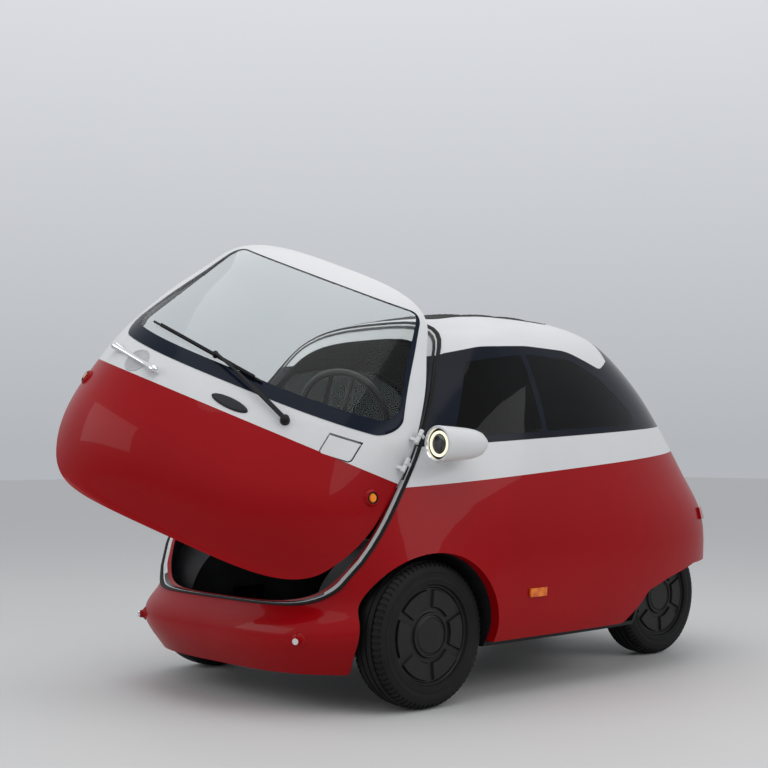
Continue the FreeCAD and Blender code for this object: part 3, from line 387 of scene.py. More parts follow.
# Each side of the flange has three stretches: the leaning seam, seen from its middle over a
# wide sweep, the arc at its foot, and the level foot, fanned out from a point in the cabin.
SEAM_SWEEP = 130
SEAM_STEPS = 32
ARC_STEPS = 40
FAN_STEPS = 8
FAN_BEHIND = 0.05
FAN_AFTER = 0.03
fan_point = Vector((0, AXLE_Y + FAN_BEHIND, DOOR_FOOT))
corner_turn = math.acos(SEAM_LEAN / math.hypot(1, SEAM_LEAN))
foot_tangent = FOOT_ROUND * math.tan(corner_turn / 2)
arc_middle = seam_point(DOOR_FOOT) + Vector((0, -foot_tangent, FOOT_ROUND))
sides = {}
for side in (1, -1):
    found = []
    for step in range(SEAM_STEPS + 1):
        turn = math.radians(90 - SEAM_SWEEP * step / SEAM_STEPS)
        way = -(Vector((side * math.cos(turn), 0, 0)) + math.sin(turn) * seam_up)
        found.append(flange(SEAM_MIDDLE, way, seam_out))
    for step in range(1, ARC_STEPS):
        out = Matrix.Rotation(-corner_turn * step / ARC_STEPS, 3, "X") @ seam_out
        found.append(flange(arc_middle - FOOT_ROUND * out, Vector((-side, 0, 0)), out))
    last = next(one for one in reversed(found) if one is not None)[0]
    first_turn = math.atan2(fan_point.y - last.y, abs(last.x)) + FAN_AFTER
    for step in range(FAN_STEPS + 1):
        turn = first_turn + (math.radians(90) - first_turn) * step / FAN_STEPS
        way = Vector((-side * math.cos(turn), math.sin(turn), 0))
        found.append(flange(fan_point, way, Vector((0, 0, 1))))
    sides[side] = [one for one in found if one is not None]
whole_flange = sides[1] + sides[-1][-2:0:-1]


def strip(name, stations, section, closed=False):
    """A strip of one section, laid through stations of a point, a way across and a way out."""
    work = bmesh.new()
    rings = [[work.verts.new(point + across * side + out * lift) for side, lift in section]
             for point, across, out in stations]
    if closed:
        rings.append(rings[0])
    for ring, following in zip(rings, rings[1:]):
        for index in range(len(section)):
            after = (index + 1) % len(section)
            work.faces.new((ring[index], ring[after], following[after], following[index]))
    if not closed:
        work.faces.new(rings[0])
        work.faces.new(rings[-1][::-1])
    bmesh.ops.recalc_face_normals(work, faces=work.faces)
    return piece_of(name, work)


rubber = surface("seal_rubber", (0.005, 0.005, 0.005), (0.009, 0.009, 0.009), 25, (0.5, 0.7),
                 700, 0.0002, Specular_IOR_Level=0.2)
# The strips' sections: pairs of the place across the flange, inwards, and the height over it.
SEAL = [(-0.009, -0.001), (-0.008, 0.0028), (-0.005, 0.0040), (0.004, 0.0040),
        (0.007, 0.0028), (0.008, -0.001)]
LIP = [(0.0085, -0.001), (0.0090, 0.0022), (0.0140, 0.0022), (0.0145, -0.001)]
SILL = [(0.0145, -0.001), (0.0150, 0.0016), (0.0275, 0.0016), (0.0280, -0.001)]
WAIST = 0.92
JAMB_LOW = 0.40
JAMB_HIGH = 0.80
STRIP_LAP = 0.002
JAMB_LAP = 0.03
sill_black = surface("sill_black", (0.004, 0.004, 0.0045), (0.006, 0.006, 0.007), 12,
                     (0.15, 0.25), 500, 0.00005, Specular_IOR_Level=0.3)
complete(strip("opening_seal", whole_flange, SEAL, True), rubber, "body")
below = [one for one in sides[1] + sides[-1][::-1] if one[0].z < WAIST]
complete(strip("opening_lip", below, LIP), white, "body")
foot_part = [one for one in below if one[0].z < JAMB_LOW + STRIP_LAP]
complete(strip("opening_sill", foot_part, SILL), sill_black, "body")
for side, word in ((1, "left"), (-1, "right")):
    low_part = [one for one in sides[side] if JAMB_LOW < one[0].z < JAMB_HIGH]
    complete(strip("jamb_face_" + word, low_part, SILL), white, "body")
    high_part = [one for one in sides[side] if one[0].z > JAMB_HIGH - JAMB_LAP]
    complete(strip("jamb_top_" + word, high_part, SILL), sill_black, "body")

# Panes of dark tinted safety glass are bonded into the sides and the tailgate, flush with
# the navy frames round them.
dark_pane = surface("tinted_pane", (0.030, 0.036, 0.033), (0.040, 0.046, 0.042), 3, (0.0, 0.01),
                    20, 0.000001, Transmission_Weight=1.0, IOR=1.2, Specular_IOR_Level=0.3)
dress(dark_pane, "side_glass_left", "side_glass_right", "rear_glass")

# The windscreen is a clear laminated pane, bonded into the door, with a black fired border
# that is wide along its foot, narrower at the sides and narrowest at the top.
BORDER_FOOT = 0.055
BORDER_SIDE = 0.027
BORDER_TOP = 0.014
BORDER_BEND = 0.25
PANE_EDGE = math.radians(40)
PANE_LIFT = 0.0018
PANE_MESH = 0.02


def split_long(work, limit, rounds):
    """Halves a mesh's long edges a few times over and triangulates its faces."""
    for turn in range(rounds):
        long_edges = [edge for edge in work.edges if edge.calc_length() > limit]
        bmesh.ops.subdivide_edges(work, edges=long_edges, cuts=1)
    bmesh.ops.triangulate(work, faces=work.faces)


screen = merged_copy("windscreen_pane", "windscreen")
work = bmesh.new()
work.from_mesh(screen.data)
split_long(work, PANE_MESH, 4)
work.normal_update()
rim_points = set()
for edge in work.edges:
    if len(edge.link_faces) == 2 and edge.calc_face_angle() > PANE_EDGE:
        rim_points.update(edge.verts)
rim_points = [corner.co.copy() for corner in rim_points]
heights = [(door_shut @ point).z for point in rim_points]
foot, top = min(heights), max(heights)
tree = KDTree(len(rim_points))
for index, point in enumerate(rim_points):
    tree.insert(point, index)
tree.balance()
shares = []
for corner in work.verts:
    nearest, index, away = tree.find(corner.co)
    rise = (heights[index] - foot) / (top - foot)
    if rise < BORDER_BEND:
        width = BORDER_FOOT + (BORDER_SIDE - BORDER_FOOT) * rise / BORDER_BEND
    else:
        part = (rise - BORDER_BEND) / (1 - BORDER_BEND)
        width = BORDER_SIDE + (BORDER_TOP - BORDER_SIDE) * part
    shares.append(away / width)
for corner in work.verts:
    corner.co += PANE_LIFT * (corner.co - DOOR_HEART).normalized()
work.to_mesh(screen.data)
work.free()
share = screen.data.attributes.new("border_share", "FLOAT", "POINT")
share.data.foreach_set("value", shares)
clear_pane = surface("clear_pane", (0.90, 0.94, 0.93), (0.93, 0.96, 0.95), 2, (0.0, 0.004), 20,
                     0.000001, Transmission_Weight=1.0, IOR=1.18, Specular_IOR_Level=0.3)
nodes = clear_pane.node_tree.nodes
links = clear_pane.node_tree.links
border = nodes.new("ShaderNodeAttribute")
border.attribute_name = "border_share"
within = nodes.new("ShaderNodeMath")
within.operation = "LESS_THAN"
within.inputs[1].default_value = 1.0
fired = nodes.new("ShaderNodeBsdfPrincipled")
fired.inputs["Base Color"].default_value = (0.006, 0.010, 0.020, 1)
fired.inputs["Roughness"].default_value = 0.15
fired.inputs["Specular IOR Level"].default_value = 0.08
pane_mix = nodes.new("ShaderNodeMixShader")
links.new(border.outputs["Fac"], within.inputs[0])
links.new(within.outputs["Value"], pane_mix.inputs["Fac"])
links.new(nodes["Principled BSDF"].outputs["BSDF"], pane_mix.inputs[1])
links.new(fired.outputs["BSDF"], pane_mix.inputs[2])
links.new(pane_mix.outputs["Shader"], nodes["Material Output"].inputs["Surface"])
complete(screen, clear_pane, "front_door")
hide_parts("windscreen")


# The tyres are black rubber with ringed sidewalls, four grooves round the tread and blocks
# along its shoulders.
def turned(name, rows, sides, tube=False):
    """A turned piece: a ring is carried up its axis row by row and widened or narrowed."""
    bpy.ops.object.select_all(action="DESELECT")
    along, radius = rows[0]
    bpy.ops.mesh.primitive_circle_add(vertices=sides, radius=radius, location=(0, 0, along),
                                      fill_type="NOTHING" if tube else "NGON")
    piece = bpy.context.object
    piece.name = name
    bpy.ops.object.transform_apply(location=True, rotation=True, scale=True)
    bpy.context.tool_settings.mesh_select_mode = (True, False, False)
    bpy.ops.object.mode_set(mode="EDIT")
    bpy.ops.mesh.select_all(action="SELECT")
    carry = bpy.ops.mesh.extrude_edges_move if tube else bpy.ops.mesh.extrude_region_move
    for next_along, next_radius in rows[1:]:
        carry(TRANSFORM_OT_translate={"value": (0, 0, next_along - along)})
        wider = next_radius / radius
        bpy.ops.transform.resize(value=(wider, wider, 1), center_override=(0, 0, next_along))
        along, radius = next_along, next_radius
    bpy.ops.mesh.select_all(action="SELECT")
    bpy.ops.mesh.remove_doubles(threshold=0.00001)
    bpy.ops.mesh.normals_make_consistent(inside=False)
    bpy.ops.object.mode_set(mode="OBJECT")
    return piece


def pick(piece, test):
    """Selects the faces of a piece that pass a test, and opens it in edit mode."""
    only(piece)
    bpy.context.tool_settings.mesh_select_mode = (False, False, True)
    bpy.ops.object.mode_set(mode="EDIT")
    bpy.ops.mesh.select_all(action="DESELECT")
    bpy.ops.object.mode_set(mode="OBJECT")
    for face in piece.data.polygons:
        face.select = test(face.center)
    bpy.ops.object.mode_set(mode="EDIT")


def seat(piece, place, aim):
    """Puts a piece made along +Z at its place, pointing along aim, and applies it."""
    turn = Vector(aim).to_track_quat("Z", "Y").to_matrix().to_4x4()
    piece.matrix_world = Matrix.Translation(place) @ turn
    only(piece)
    bpy.ops.object.transform_apply(location=True, rotation=True, scale=True)
    return piece


def like(piece, name):
    """A copy of a piece with its own mesh."""
    twin = piece.copy()
    twin.data = piece.data.copy()
    twin.name = name
    bpy.context.scene.collection.objects.link(twin)
    return twin


TYRE_COLUMNS = 144
TYRE_BORE = 0.1725
BLOCKS_OUT = 0.0445
BLOCKS_FROM = 0.243
BLOCKS_TO = 0.2560
# Half a tyre's outline, from its bead out to the tread: place along the axle, radius.
tyre_half = [(0.066, 0.174), (0.0725, 0.178), (0.0735, 0.185), (0.0730, 0.187), (0.0748, 0.189),
             (0.0750, 0.203), (0.0742, 0.2045), (0.0748, 0.206), (0.0738, 0.218), (0.0726, 0.219),
             (0.0732, 0.2205), (0.0712, 0.231), (0.0675, 0.2400), (0.0620, 0.2482),
             (0.0560, 0.2533), (0.0440, 0.2572), (0.0432, 0.2508), (0.0382, 0.2510),
             (0.0374, 0.2582), (0.0180, 0.2598), (0.0172, 0.2530), (0.0112, 0.2530),
             (0.0104, 0.2600)]
tyre_rows = (tyre_half + [(-along, radius) for along, radius in reversed(tyre_half)]
             + [(-0.060, TYRE_BORE), (0.060, TYRE_BORE), tyre_half[0]])
model_tyre = turned("tyre_model", tyre_rows, TYRE_COLUMNS, True)


def shoulder_gap(centre):
    """True for every second column of the tread's shoulders."""
    column = int(math.atan2(centre.y, centre.x) / math.tau * TYRE_COLUMNS + TYRE_COLUMNS)
    round_here = math.hypot(centre.x, centre.y)
    return column % 2 == 0 and abs(centre.z) > BLOCKS_OUT and BLOCKS_FROM < round_here < BLOCKS_TO


pick(model_tyre, shoulder_gap)
bpy.ops.mesh.inset(thickness=0.0008, depth=-0.0035, use_even_offset=True)
bpy.ops.object.mode_set(mode="OBJECT")
tread_rubber = surface("tread_rubber", (0.0050, 0.0050, 0.0052), (0.009, 0.009, 0.009), 14,
                       (0.55, 0.75), 500, 0.0003, Specular_IOR_Level=0.2)

# The wheels are pressed steel under matt black covers: a raised cap in the middle, a recess
# round it and six plates between six narrow channels.
COVER_COLUMNS = 72
CHANNEL = math.radians(5)
PLATE_PITCH = math.radians(60)
PLATE_FOOT = 0.0955
PLATE_TOP = 0.160
OUTER_FACE = 0.05
# The cover's outline from the cap in its middle outwards and round to the hub's bore.
cover_rows = [(0.0640, 0.0585), (0.0655, 0.0600), (0.0655, 0.0610), (0.0615, 0.0650),
              (0.0608, 0.0670), (0.0608, 0.0700), (0.0645, 0.0718), (0.0650, 0.0745),
              (0.0640, 0.0775), (0.0555, 0.0815), (0.0545, 0.0840), (0.0545, PLATE_FOOT),
              (0.0545, PLATE_TOP), (0.0545, 0.1635), (0.0600, 0.1665), (0.0628, 0.1690),
              (0.0628, 0.1725), (0.0600, 0.1740), (-0.0600, 0.1738), (-0.0630, 0.1735),
              (-0.0630, 0.1680), (-0.0580, 0.1620), (-0.0300, 0.1520), (0.0350, 0.1480),
              (0.0480, 0.1400), (0.0500, 0.0500), (0.0480, 0.0420), (0.0040, 0.0420),
              (0.0040, 0.0156), (0.0480, 0.0156)]
model_cover = turned("cover_model", cover_rows, COVER_COLUMNS)


def on_plate(centre):
    """True on the six plates between the channels, one of which points straight up."""
    turn = (math.atan2(centre.y, centre.x) - math.radians(90)) % PLATE_PITCH
    clear = min(turn, PLATE_PITCH - turn) > CHANNEL
    round_here = math.hypot(centre.x, centre.y)
    return clear and centre.z > OUTER_FACE and PLATE_FOOT < round_here < PLATE_TOP


pick(model_cover, on_plate)
bpy.ops.mesh.inset(thickness=0.004, depth=0.0085, use_even_offset=True)
bpy.ops.object.mode_set(mode="OBJECT")
wheel_matt = surface("wheel_matt", (0.0055, 0.0055, 0.0055), (0.008, 0.008, 0.0076), 18,
                     (0.34, 0.46), 650, 0.00012, Specular_IOR_Level=0.3)
for corner in ("front_left", "front_right", "rear_left", "rear_right"):
    low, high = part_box("tyre_" + corner)
    hub = (Vector(low) + Vector(high)) / 2
    aim = (math.copysign(1, hub.x), 0, 0)
    tyre = seat(like(model_tyre, "tread_tyre_" + corner), hub, aim)
    complete(tyre, tread_rubber, "wheel_" + corner, 30)
    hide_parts("tyre_" + corner)
    cover = seat(like(model_cover, "covered_wheel_" + corner), hub, aim)
    complete(cover, wheel_matt, "wheel_" + corner, 30)
    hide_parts("rim_" + corner)
for model in (model_tyre, model_cover):
    bpy.data.objects.remove(model)

# The lamp and mirror pods are moulded in white plastic, each on a short stalk from the belt.
# In front sit a chromed ring, a black ring, a glowing ring of light and a dark lens. Rows give
# the place along the pod's axis and the radius.
POD_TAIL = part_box("mirror_pods")[1][1]
POD_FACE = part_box("headlamps")[0][1]
POD_RADIUS = 0.0635
POD_X = 0.760
POD_Z = 0.925
STALK_Y = -0.470
POD_ROWS = 14
FIRST_ROW = 0.35
POD_TAPER = 0.2
POD_BLUNT = 6
POD_ROUND = 0.45
RIM_LENGTH = 0.010
STALK_X = 0.650
STALK_BELOW = 0.012
pod_long = POD_TAIL - POD_FACE
barrel = []
for row in range(POD_ROWS):
    share = math.sin(math.radians(90) * (row + FIRST_ROW) / (POD_ROWS - 1 + FIRST_ROW))
    ahead = 1 - share
    round_here = POD_RADIUS * (1 - POD_TAPER * ahead) * (1 - ahead ** POD_BLUNT) ** POD_ROUND
    barrel.append((share * (pod_long - RIM_LENGTH), round_here))
barrel += [(pod_long - 0.004, POD_RADIUS), (pod_long - 0.001, 0.0620),
           (pod_long - 0.001, 0.0600), (pod_long - 0.016, 0.0585)]
ring_rows = [(-0.0140, 0.0580), (-0.0010, 0.0600), (0.0000, 0.0585), (-0.0010, 0.0540),
             (-0.0080, 0.0505), (-0.0140, 0.0500), (-0.0140, 0.0580)]
black_rows = [(-0.0150, 0.0520), (-0.0095, 0.0505), (-0.0100, 0.0460), (-0.0150, 0.0450),
              (-0.0150, 0.0520)]
light_rows = [(-0.0150, 0.0455), (-0.0080, 0.0445), (-0.0062, 0.0420), (-0.0062, 0.0385),
              (-0.0080, 0.0360), (-0.0150, 0.0350), (-0.0150, 0.0455)]
lens_rows = [(-0.0170, 0.0355), (-0.0120, 0.0352), (-0.0095, 0.0320), (-0.0078, 0.0240),
             (-0.0068, 0.0130), (-0.0064, 0.0030)]
stalk_rows = [(0.0000, 0.0330), (0.0040, 0.0300), (0.0120, 0.0220), (0.0300, 0.0190),
              (0.0560, 0.0200), (0.0700, 0.0260)]
chrome = surface("bright_chrome", (0.72, 0.72, 0.73), (0.78, 0.78, 0.79), 8, (0.05, 0.1), 300,
                 0.00002, Metallic=1.0)
ring_light = surface("ring_light", (0.80, 0.76, 0.58), (0.85, 0.80, 0.62), 40, (0.3, 0.4), 200,
                     0.0001, Emission_Color=(1.0, 0.93, 0.66, 1), Emission_Strength=0.75)
lens_dark = surface("lens_dark", (0.020, 0.022, 0.022), (0.05, 0.05, 0.045), 60, (0.02, 0.05),
                    200, 0.0001)
for side, word in ((1, "left"), (-1, "right")):
    face = Vector((side * POD_X, POD_FACE, POD_Z))
    tail = Vector((side * POD_X, POD_TAIL, POD_Z))
    shell = seat(turned("pod_barrel_" + word, barrel, 48), tail, (0, -1, 0))
    complete(shell, white, "body")
    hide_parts("mirror_pods")
    arm = seat(turned("pod_stalk_" + word, stalk_rows, 32),
               (side * STALK_X, STALK_Y, POD_Z - STALK_BELOW), (side, 0, 0))
    complete(arm, white, "body")
    for label, rows, tube, look, slot in (
            ("chrome_ring", ring_rows, True, chrome, "chrome"),
            ("black_ring", black_rows, True, night, "gloss_black"),
            ("light_ring", light_rows, True, ring_light, "lamp"),
            ("lens", lens_rows, False, lens_dark, "lamp")):
        piece = seat(turned("pod_" + label + "_" + word, rows, 48, tube), face, (0, -1, 0))
        complete(piece, look, "body")
        if label == "chrome_ring":
            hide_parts("headlamps")

# The door hangs on two small barrel hinges at the car's left edge, whose arms reach inside
# the skin. The tailgate's brackets sit on the rear edge of the roof.
HINGE_X = 0.630
HINGE_AHEAD = 0.034
HINGE_HEIGHT = 0.900
HINGE_SPREAD = 0.124
HALF_BARREL = 0.0150
BODY_REACH = Vector((-0.006, 0.030, 0.0))
DOOR_REACH = Vector((-0.022, -0.020, 0.0))
ARM_START = 0.2
ARM_SECTION = [(-0.006, -0.003), (-0.006, 0.003), (0.006, 0.003), (0.006, -0.003)]
hinge_point = Vector((HINGE_X, AXLE_Y - HINGE_AHEAD, HINGE_HEIGHT))
hinge_way = Vector(DOOR["axis"]).normalized()
barrel_rows = [(-0.0145, 0.0070), (-0.0135, 0.0085), (0.0135, 0.0085), (0.0145, 0.0070)]
gate_brackets = merged_copy("gate_brackets", "hinge_brackets")
pick(gate_brackets, lambda centre: centre.y < 0)
bpy.ops.mesh.delete(type="FACE")
bpy.ops.object.mode_set(mode="OBJECT")
complete(gate_brackets, night, "body")
for number, height in enumerate((-HINGE_SPREAD / 2, HINGE_SPREAD / 2), 1):
    for word, body, shift, reach, stands_for in (
            ("body", "body", HALF_BARREL, BODY_REACH, "hinge_brackets"),
            ("door", "front_door", -HALF_BARREL, DOOR_REACH, "hinge_leaves")):
        place = hinge_point + (height + shift) * hinge_way
        knuckle = seat(turned(f"hinge_knuckle_{word}_{number}", barrel_rows, 24), place, hinge_way)
        complete(knuckle, white, body)
        lean = reach - reach.dot(hinge_way) * hinge_way
        arm_out = lean.cross(hinge_way).normalized()
        arm = strip(f"hinge_arm_{word}_{number}",
                    [(place + lean * ARM_START, hinge_way, arm_out),
                     (place + lean, hinge_way, arm_out)], ARM_SECTION)
        complete(arm, white, body)
        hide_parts(stands_for)


# A chromed pull handle stands on two feet over a round dish in the door's upper half. Its
# ends and the dish's middle are points of the photograph, found again on the skin.
def photo_ray(across, down):
    """The way from the eye through a point of the photograph."""
    forward = Vector((-math.sin(EYE_TURN), math.cos(EYE_TURN), 0))
    side = Vector((math.cos(EYE_TURN), math.sin(EYE_TURN), 0))
    return (forward * PHOTO_FOCUS + side * (across - PHOTO_MIDDLE)
            + Vector((0, 0, PHOTO_HORIZON - down))).normalized()


def seen_on(piece, across, down):
    """Where a point of the photograph lies on a piece, with the skin's normal there."""
    struck, point, normal, index = piece.ray_cast(EYE, photo_ray(across, down))
    return point, normal


LAY_FROM = 0.1


def lay_on(piece, place, aim, ground, along=None):
    """Seats a flat piece made along +Z and lays it on the curved skin under it."""
    if along is not None:
        width = (along - along.dot(aim) * aim).normalized()
        turn = Matrix((width, aim.cross(width), aim)).transposed().to_4x4()
        piece.matrix_world = Matrix.Translation(place) @ turn
        only(piece)
        bpy.ops.object.transform_apply(location=True, rotation=True, scale=True)
    else:
        seat(piece, place, aim)
    for corner in piece.data.vertices:
        lift = (corner.co - place).dot(aim)
        struck, point, normal, index = ground.ray_cast(corner.co + aim * (LAY_FROM - lift), -aim,
                                                       distance=2 * LAY_FROM)
        if struck:
            corner.co = point + aim * lift
    return piece


upper_door = NODES["door_upper"]
LEVER_ENDS = ((117, 348), (158, 374))
DISH_POINT = (137, 360)
LEVER_LIFT = 0.020
FOOT_SHARES = (0.07, 0.93)
(end_a, out_a), (end_b, out_b) = [seen_on(upper_door, *point) for point in LEVER_ENDS]
lever_a = end_a + LEVER_LIFT * out_a
lever_b = end_b + LEVER_LIFT * out_b
lever_long = (lever_b - lever_a).length
lever_half = [(0.000, 0.0045), (0.002, 0.0095), (0.006, 0.0130), (0.014, 0.0150), (0.028, 0.0145),
              (0.050, 0.0115), (0.085, 0.0095)]
lever_rows = lever_half + [(lever_long - along, round_here)
                           for along, round_here in reversed(lever_half)]
lever = seat(turned("pull_handle", lever_rows, 24), lever_a, lever_b - lever_a)
complete(lever, chrome, "front_door")
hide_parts("door_handle")
for number, share in enumerate(FOOT_SHARES, 1):
    top_point = lever_a.lerp(lever_b, share)
    struck, ground, normal, index = upper_door.closest_point_on_mesh(top_point)
    foot_rows = [(0, 0.0135), (0.002, 0.0125), (0.005, 0.0085),
                 ((top_point - ground).length, 0.0080)]
    foot_piece = seat(turned(f"handle_foot_{number}", foot_rows, 24), ground, top_point - ground)
    complete(foot_piece, chrome, "front_door")
dish_place, dish_out = seen_on(upper_door, *DISH_POINT)
dish_rows = [(0.0002, 0.0500), (0.0018, 0.0490), (0.0022, 0.0475), (0.0016, 0.0455),
             (0.0006, 0.0440), (0.0005, 0.0360), (0.0005, 0.0240), (0.0005, 0.0100)]
dish = lay_on(turned("handle_dish", dish_rows, 48), dish_place, dish_out, upper_door)
# The dish is painted a greyer white than the door. This is painted shade, standing in for the
# shadow inside a recessed dish, because the piece itself is only a shallow raised ring.
dish_painted_shade = surface("dish_painted_shade_white", (0.40, 0.41, 0.42), (0.46, 0.47, 0.48), 12, (0.3, 0.36), 240,
                      0.00004, **LACQUER)
complete(dish, dish_painted_shade, "front_door")

# A blank oval plate of pressed steel in black enamel is glued to the door's upper half, a
# little under the windscreen, and follows the skin there.
PLATE_ENDS = ((212, 394.5), (247.5, 412))
PLATE_HALF_WIDTH = 0.0205
(plate_a, out_a), (plate_b, out_b) = [seen_on(upper_door, *point) for point in PLATE_ENDS]
struck, plate_place, plate_out, index = upper_door.closest_point_on_mesh((plate_a + plate_b) / 2)
plate_rows = [(0.0002, 1.0), (0.0022, 1.0), (0.0030, 0.98), (0.0034, 0.93), (0.0034, 0.7),
              (0.0034, 0.4), (0.0034, 0.1)]
plate = turned("oval_plate", plate_rows, 64)
only(plate)
plate.scale = ((plate_b - plate_a).length / 2, PLATE_HALF_WIDTH, 1)
bpy.ops.object.transform_apply(location=True, rotation=True, scale=True)
lay_on(plate, plate_place, plate_out, upper_door, plate_b - plate_a)
enamel = surface("black_enamel", (0.006, 0.006, 0.009), (0.010, 0.010, 0.014), 40, (0.15, 0.22),
                 500, 0.00004, Specular_IOR_Level=0.2)
complete(plate, enamel, "front_door")

# One wiper sweeps the windscreen. Its black arm, in two pressed parts, turns on a capped
# spindle, and its rubber blade is held by a sprung back with a saddle in the middle.
WIPER_PIVOT = (285, 421)
WIPER_ELBOW = (216, 357)
BLADE_ENDS = ((155, 323), (262, 383))
BLADE_STEPS = 14
SADDLE_STEP = 8
ARM_STEPS = 6
ARM_BOW = 0.012
ARM_CROWN = 0.8
FOOT_LIFT = 0.016
HEAD_LIFT = 0.024
bpy.context.view_layer.update()
pivot, pivot_out = seen_on(upper_door, *WIPER_PIVOT)
elbow, elbow_out = seen_on(screen, *WIPER_ELBOW)
cap_rows = [(0.0, 0.0175), (0.012, 0.0170), (0.020, 0.0160), (0.0245, 0.0130), (0.0260, 0.0080),
            (0.0264, 0.0010)]
cap = seat(turned("wiper_cap", cap_rows, 32), pivot, pivot_out)
wiper_black = surface("wiper_black", (0.004, 0.004, 0.005), (0.007, 0.007, 0.008), 20,
                      (0.35, 0.5), 400, 0.00008, Specular_IOR_Level=0.2)
complete(cap, wiper_black, "front_door")
arm_foot = pivot + FOOT_LIFT * pivot_out
arm_head = elbow + HEAD_LIFT * elbow_out
arm_across = (arm_head - arm_foot).cross(pivot_out).normalized()
for word, first, last, wide, thick in (("root", -0.02, 0.42, 0.0085, 0.0065),
                                       ("blade_end", 0.36, 1.0, 0.0055, 0.0040)):
    stations = []
    for step in range(ARM_STEPS + 1):
        share = first + (last - first) * step / ARM_STEPS
        lift = pivot_out.lerp(elbow_out, share).normalized()
        bow = ARM_BOW * math.sin(math.pi * min(max(share, 0), 1))
        stations.append((arm_foot.lerp(arm_head, share) + bow * lift, arm_across, lift))
    arm = strip("wiper_arm_" + word, stations,
                [(-wide, 0), (-wide * ARM_CROWN, thick), (wide * ARM_CROWN, thick), (wide, 0)])
    complete(arm, wiper_black, "front_door")
blade_line = []
for step in range(BLADE_STEPS + 1):
    share = step / BLADE_STEPS
    blade_line.append(seen_on(screen, *[start + share * (end - start)
                                        for start, end in zip(*BLADE_ENDS)]))
blade_way = (blade_line[-1][0] - blade_line[0][0]).normalized()
blade_stations = [(point, normal.cross(blade_way).normalized(), normal)
                  for point, normal in blade_line]
LIP_SECTION = [(-0.0012, 0.0008), (-0.0035, 0.0070), (-0.0035, 0.0100), (0.0035, 0.0100),
               (0.0035, 0.0070), (0.0012, 0.0008)]
BACK_SECTION = [(-0.0075, 0.0095), (-0.0050, 0.0170), (0.0030, 0.0190), (0.0065, 0.0095)]
saddle_rows = [(0.006, 0.0110), (0.020, 0.0110), (0.026, 0.0085), (0.028, 0.0040)]
complete(strip("wiper_rubber", blade_stations, LIP_SECTION), rubber, "front_door")
complete(strip("wiper_spring", blade_stations[1:-1], BACK_SECTION), wiper_black, "front_door")
saddle = seat(turned("wiper_saddle", saddle_rows, 20), *blade_line[SADDLE_STEP])
complete(saddle, wiper_black, "front_door")

# The indicators and side markers are moulded in amber plastic. Each round indicator sits in
# a red moulded cup with a dark ring, and each tow cover of the apron in a red flared collar.
amber = surface("amber_lens", (0.80, 0.19, 0.006), (0.92, 0.27, 0.012), 60, (0.1, 0.2), 260,
                0.0006, Emission_Color=(1.0, 0.30, 0.02, 1), Emission_Strength=0.06)
dress(amber, "indicators")
marker_amber = surface("marker_lens", (0.62, 0.10, 0.006), (0.85, 0.24, 0.015), 45, (0.1, 0.2),
                       200, 0.0006)
dress(marker_amber, "side_markers")
cup_rows = [(-0.001, 0.0310), (0.004, 0.0290), (0.0085, 0.0250), (0.0100, 0.0225),
            (0.0090, 0.0205), (0.002, 0.0200), (-0.001, 0.0310)]
dark_rows = [(0.000, 0.0205), (0.0105, 0.0205), (0.0120, 0.0195), (0.0115, 0.0180),
             (0.000, 0.0175), (0.000, 0.0205)]
collar_rows = [(-0.002, 0.0260), (0.002, 0.0235), (0.006, 0.0170), (0.014, 0.0140),
               (0.020, 0.0135), (0.020, 0.0090), (-0.002, 0.0090), (-0.002, 0.0260)]


def beside(node, left):
    """The middle of a node's left or right solid, of two on its one body."""
    corners = [corner.co for corner in NODES[node].data.vertices]
    split = (min(corner.x for corner in corners) + max(corner.x for corner in corners)) / 2
    one = [corner for corner in corners if (corner.x > split) == left]
    return sum(one, Vector()) / len(one)


for left, word in ((True, "left"), (False, "right")):
    for label, rows, columns, small, carrier, look, body, slot in (
            ("indicator_cup", cup_rows, 40, "indicators", "door_lower", red, "front_door",
             "paint_red"),
            ("indicator_ring", dark_rows, 40, "indicators", "door_lower", night, "front_door",
             "gloss_black"),
            ("tow_collar", collar_rows, 32, "apron_buttons", "front_apron", red, "body",
             "paint_red")):
        struck, spot, normal, index = NODES[carrier].closest_point_on_mesh(beside(small, left))
        piece = seat(turned(f"{label}_{word}", rows, columns, True), spot, normal)
        complete(piece, look, body)

# What is left keeps its CAD form: red moulded rear lamps, chromed tow covers, the black
# moulded floor, the painted axles, the grey dash, the leather-bound steering wheel and the
# bare cast knuckles and motor.
dress(surface("red_lens", (0.30, 0.004, 0.006), (0.42, 0.008, 0.010), 70, (0.08, 0.16), 240,
              0.0006), "tail_lamps")
dress(chrome, "apron_buttons")
moulded = surface("moulded_black", (0.010, 0.010, 0.011), (0.016, 0.016, 0.017), 12, (0.45, 0.6),
                  800, 0.0003, Specular_IOR_Level=0.2)
dress(moulded, "floor_pan", "wheel_housings", "battery_pack", "steering_column")
dress(surface("axle_black", (0.012, 0.012, 0.012), (0.02, 0.019, 0.018), 20, (0.4, 0.6), 300,
              0.0002), "front_axle", "rear_axle")
dress(surface("grey_moulding", (0.16, 0.17, 0.18), (0.21, 0.22, 0.23), 9, (0.45, 0.6), 800,
              0.0003), "dash_panel")
dress(surface("grip_leather", (0.0065, 0.006, 0.006), (0.012, 0.011, 0.011), 40, (0.4, 0.55),
              420, 0.0006), "steering_wheel")
dress(surface("cast_metal", (0.32, 0.32, 0.31), (0.42, 0.41, 0.40), 25, (0.4, 0.55), 500, 0.0003,
              Metallic=1.0), "knuckle_left", "knuckle_right", "drive_motor")

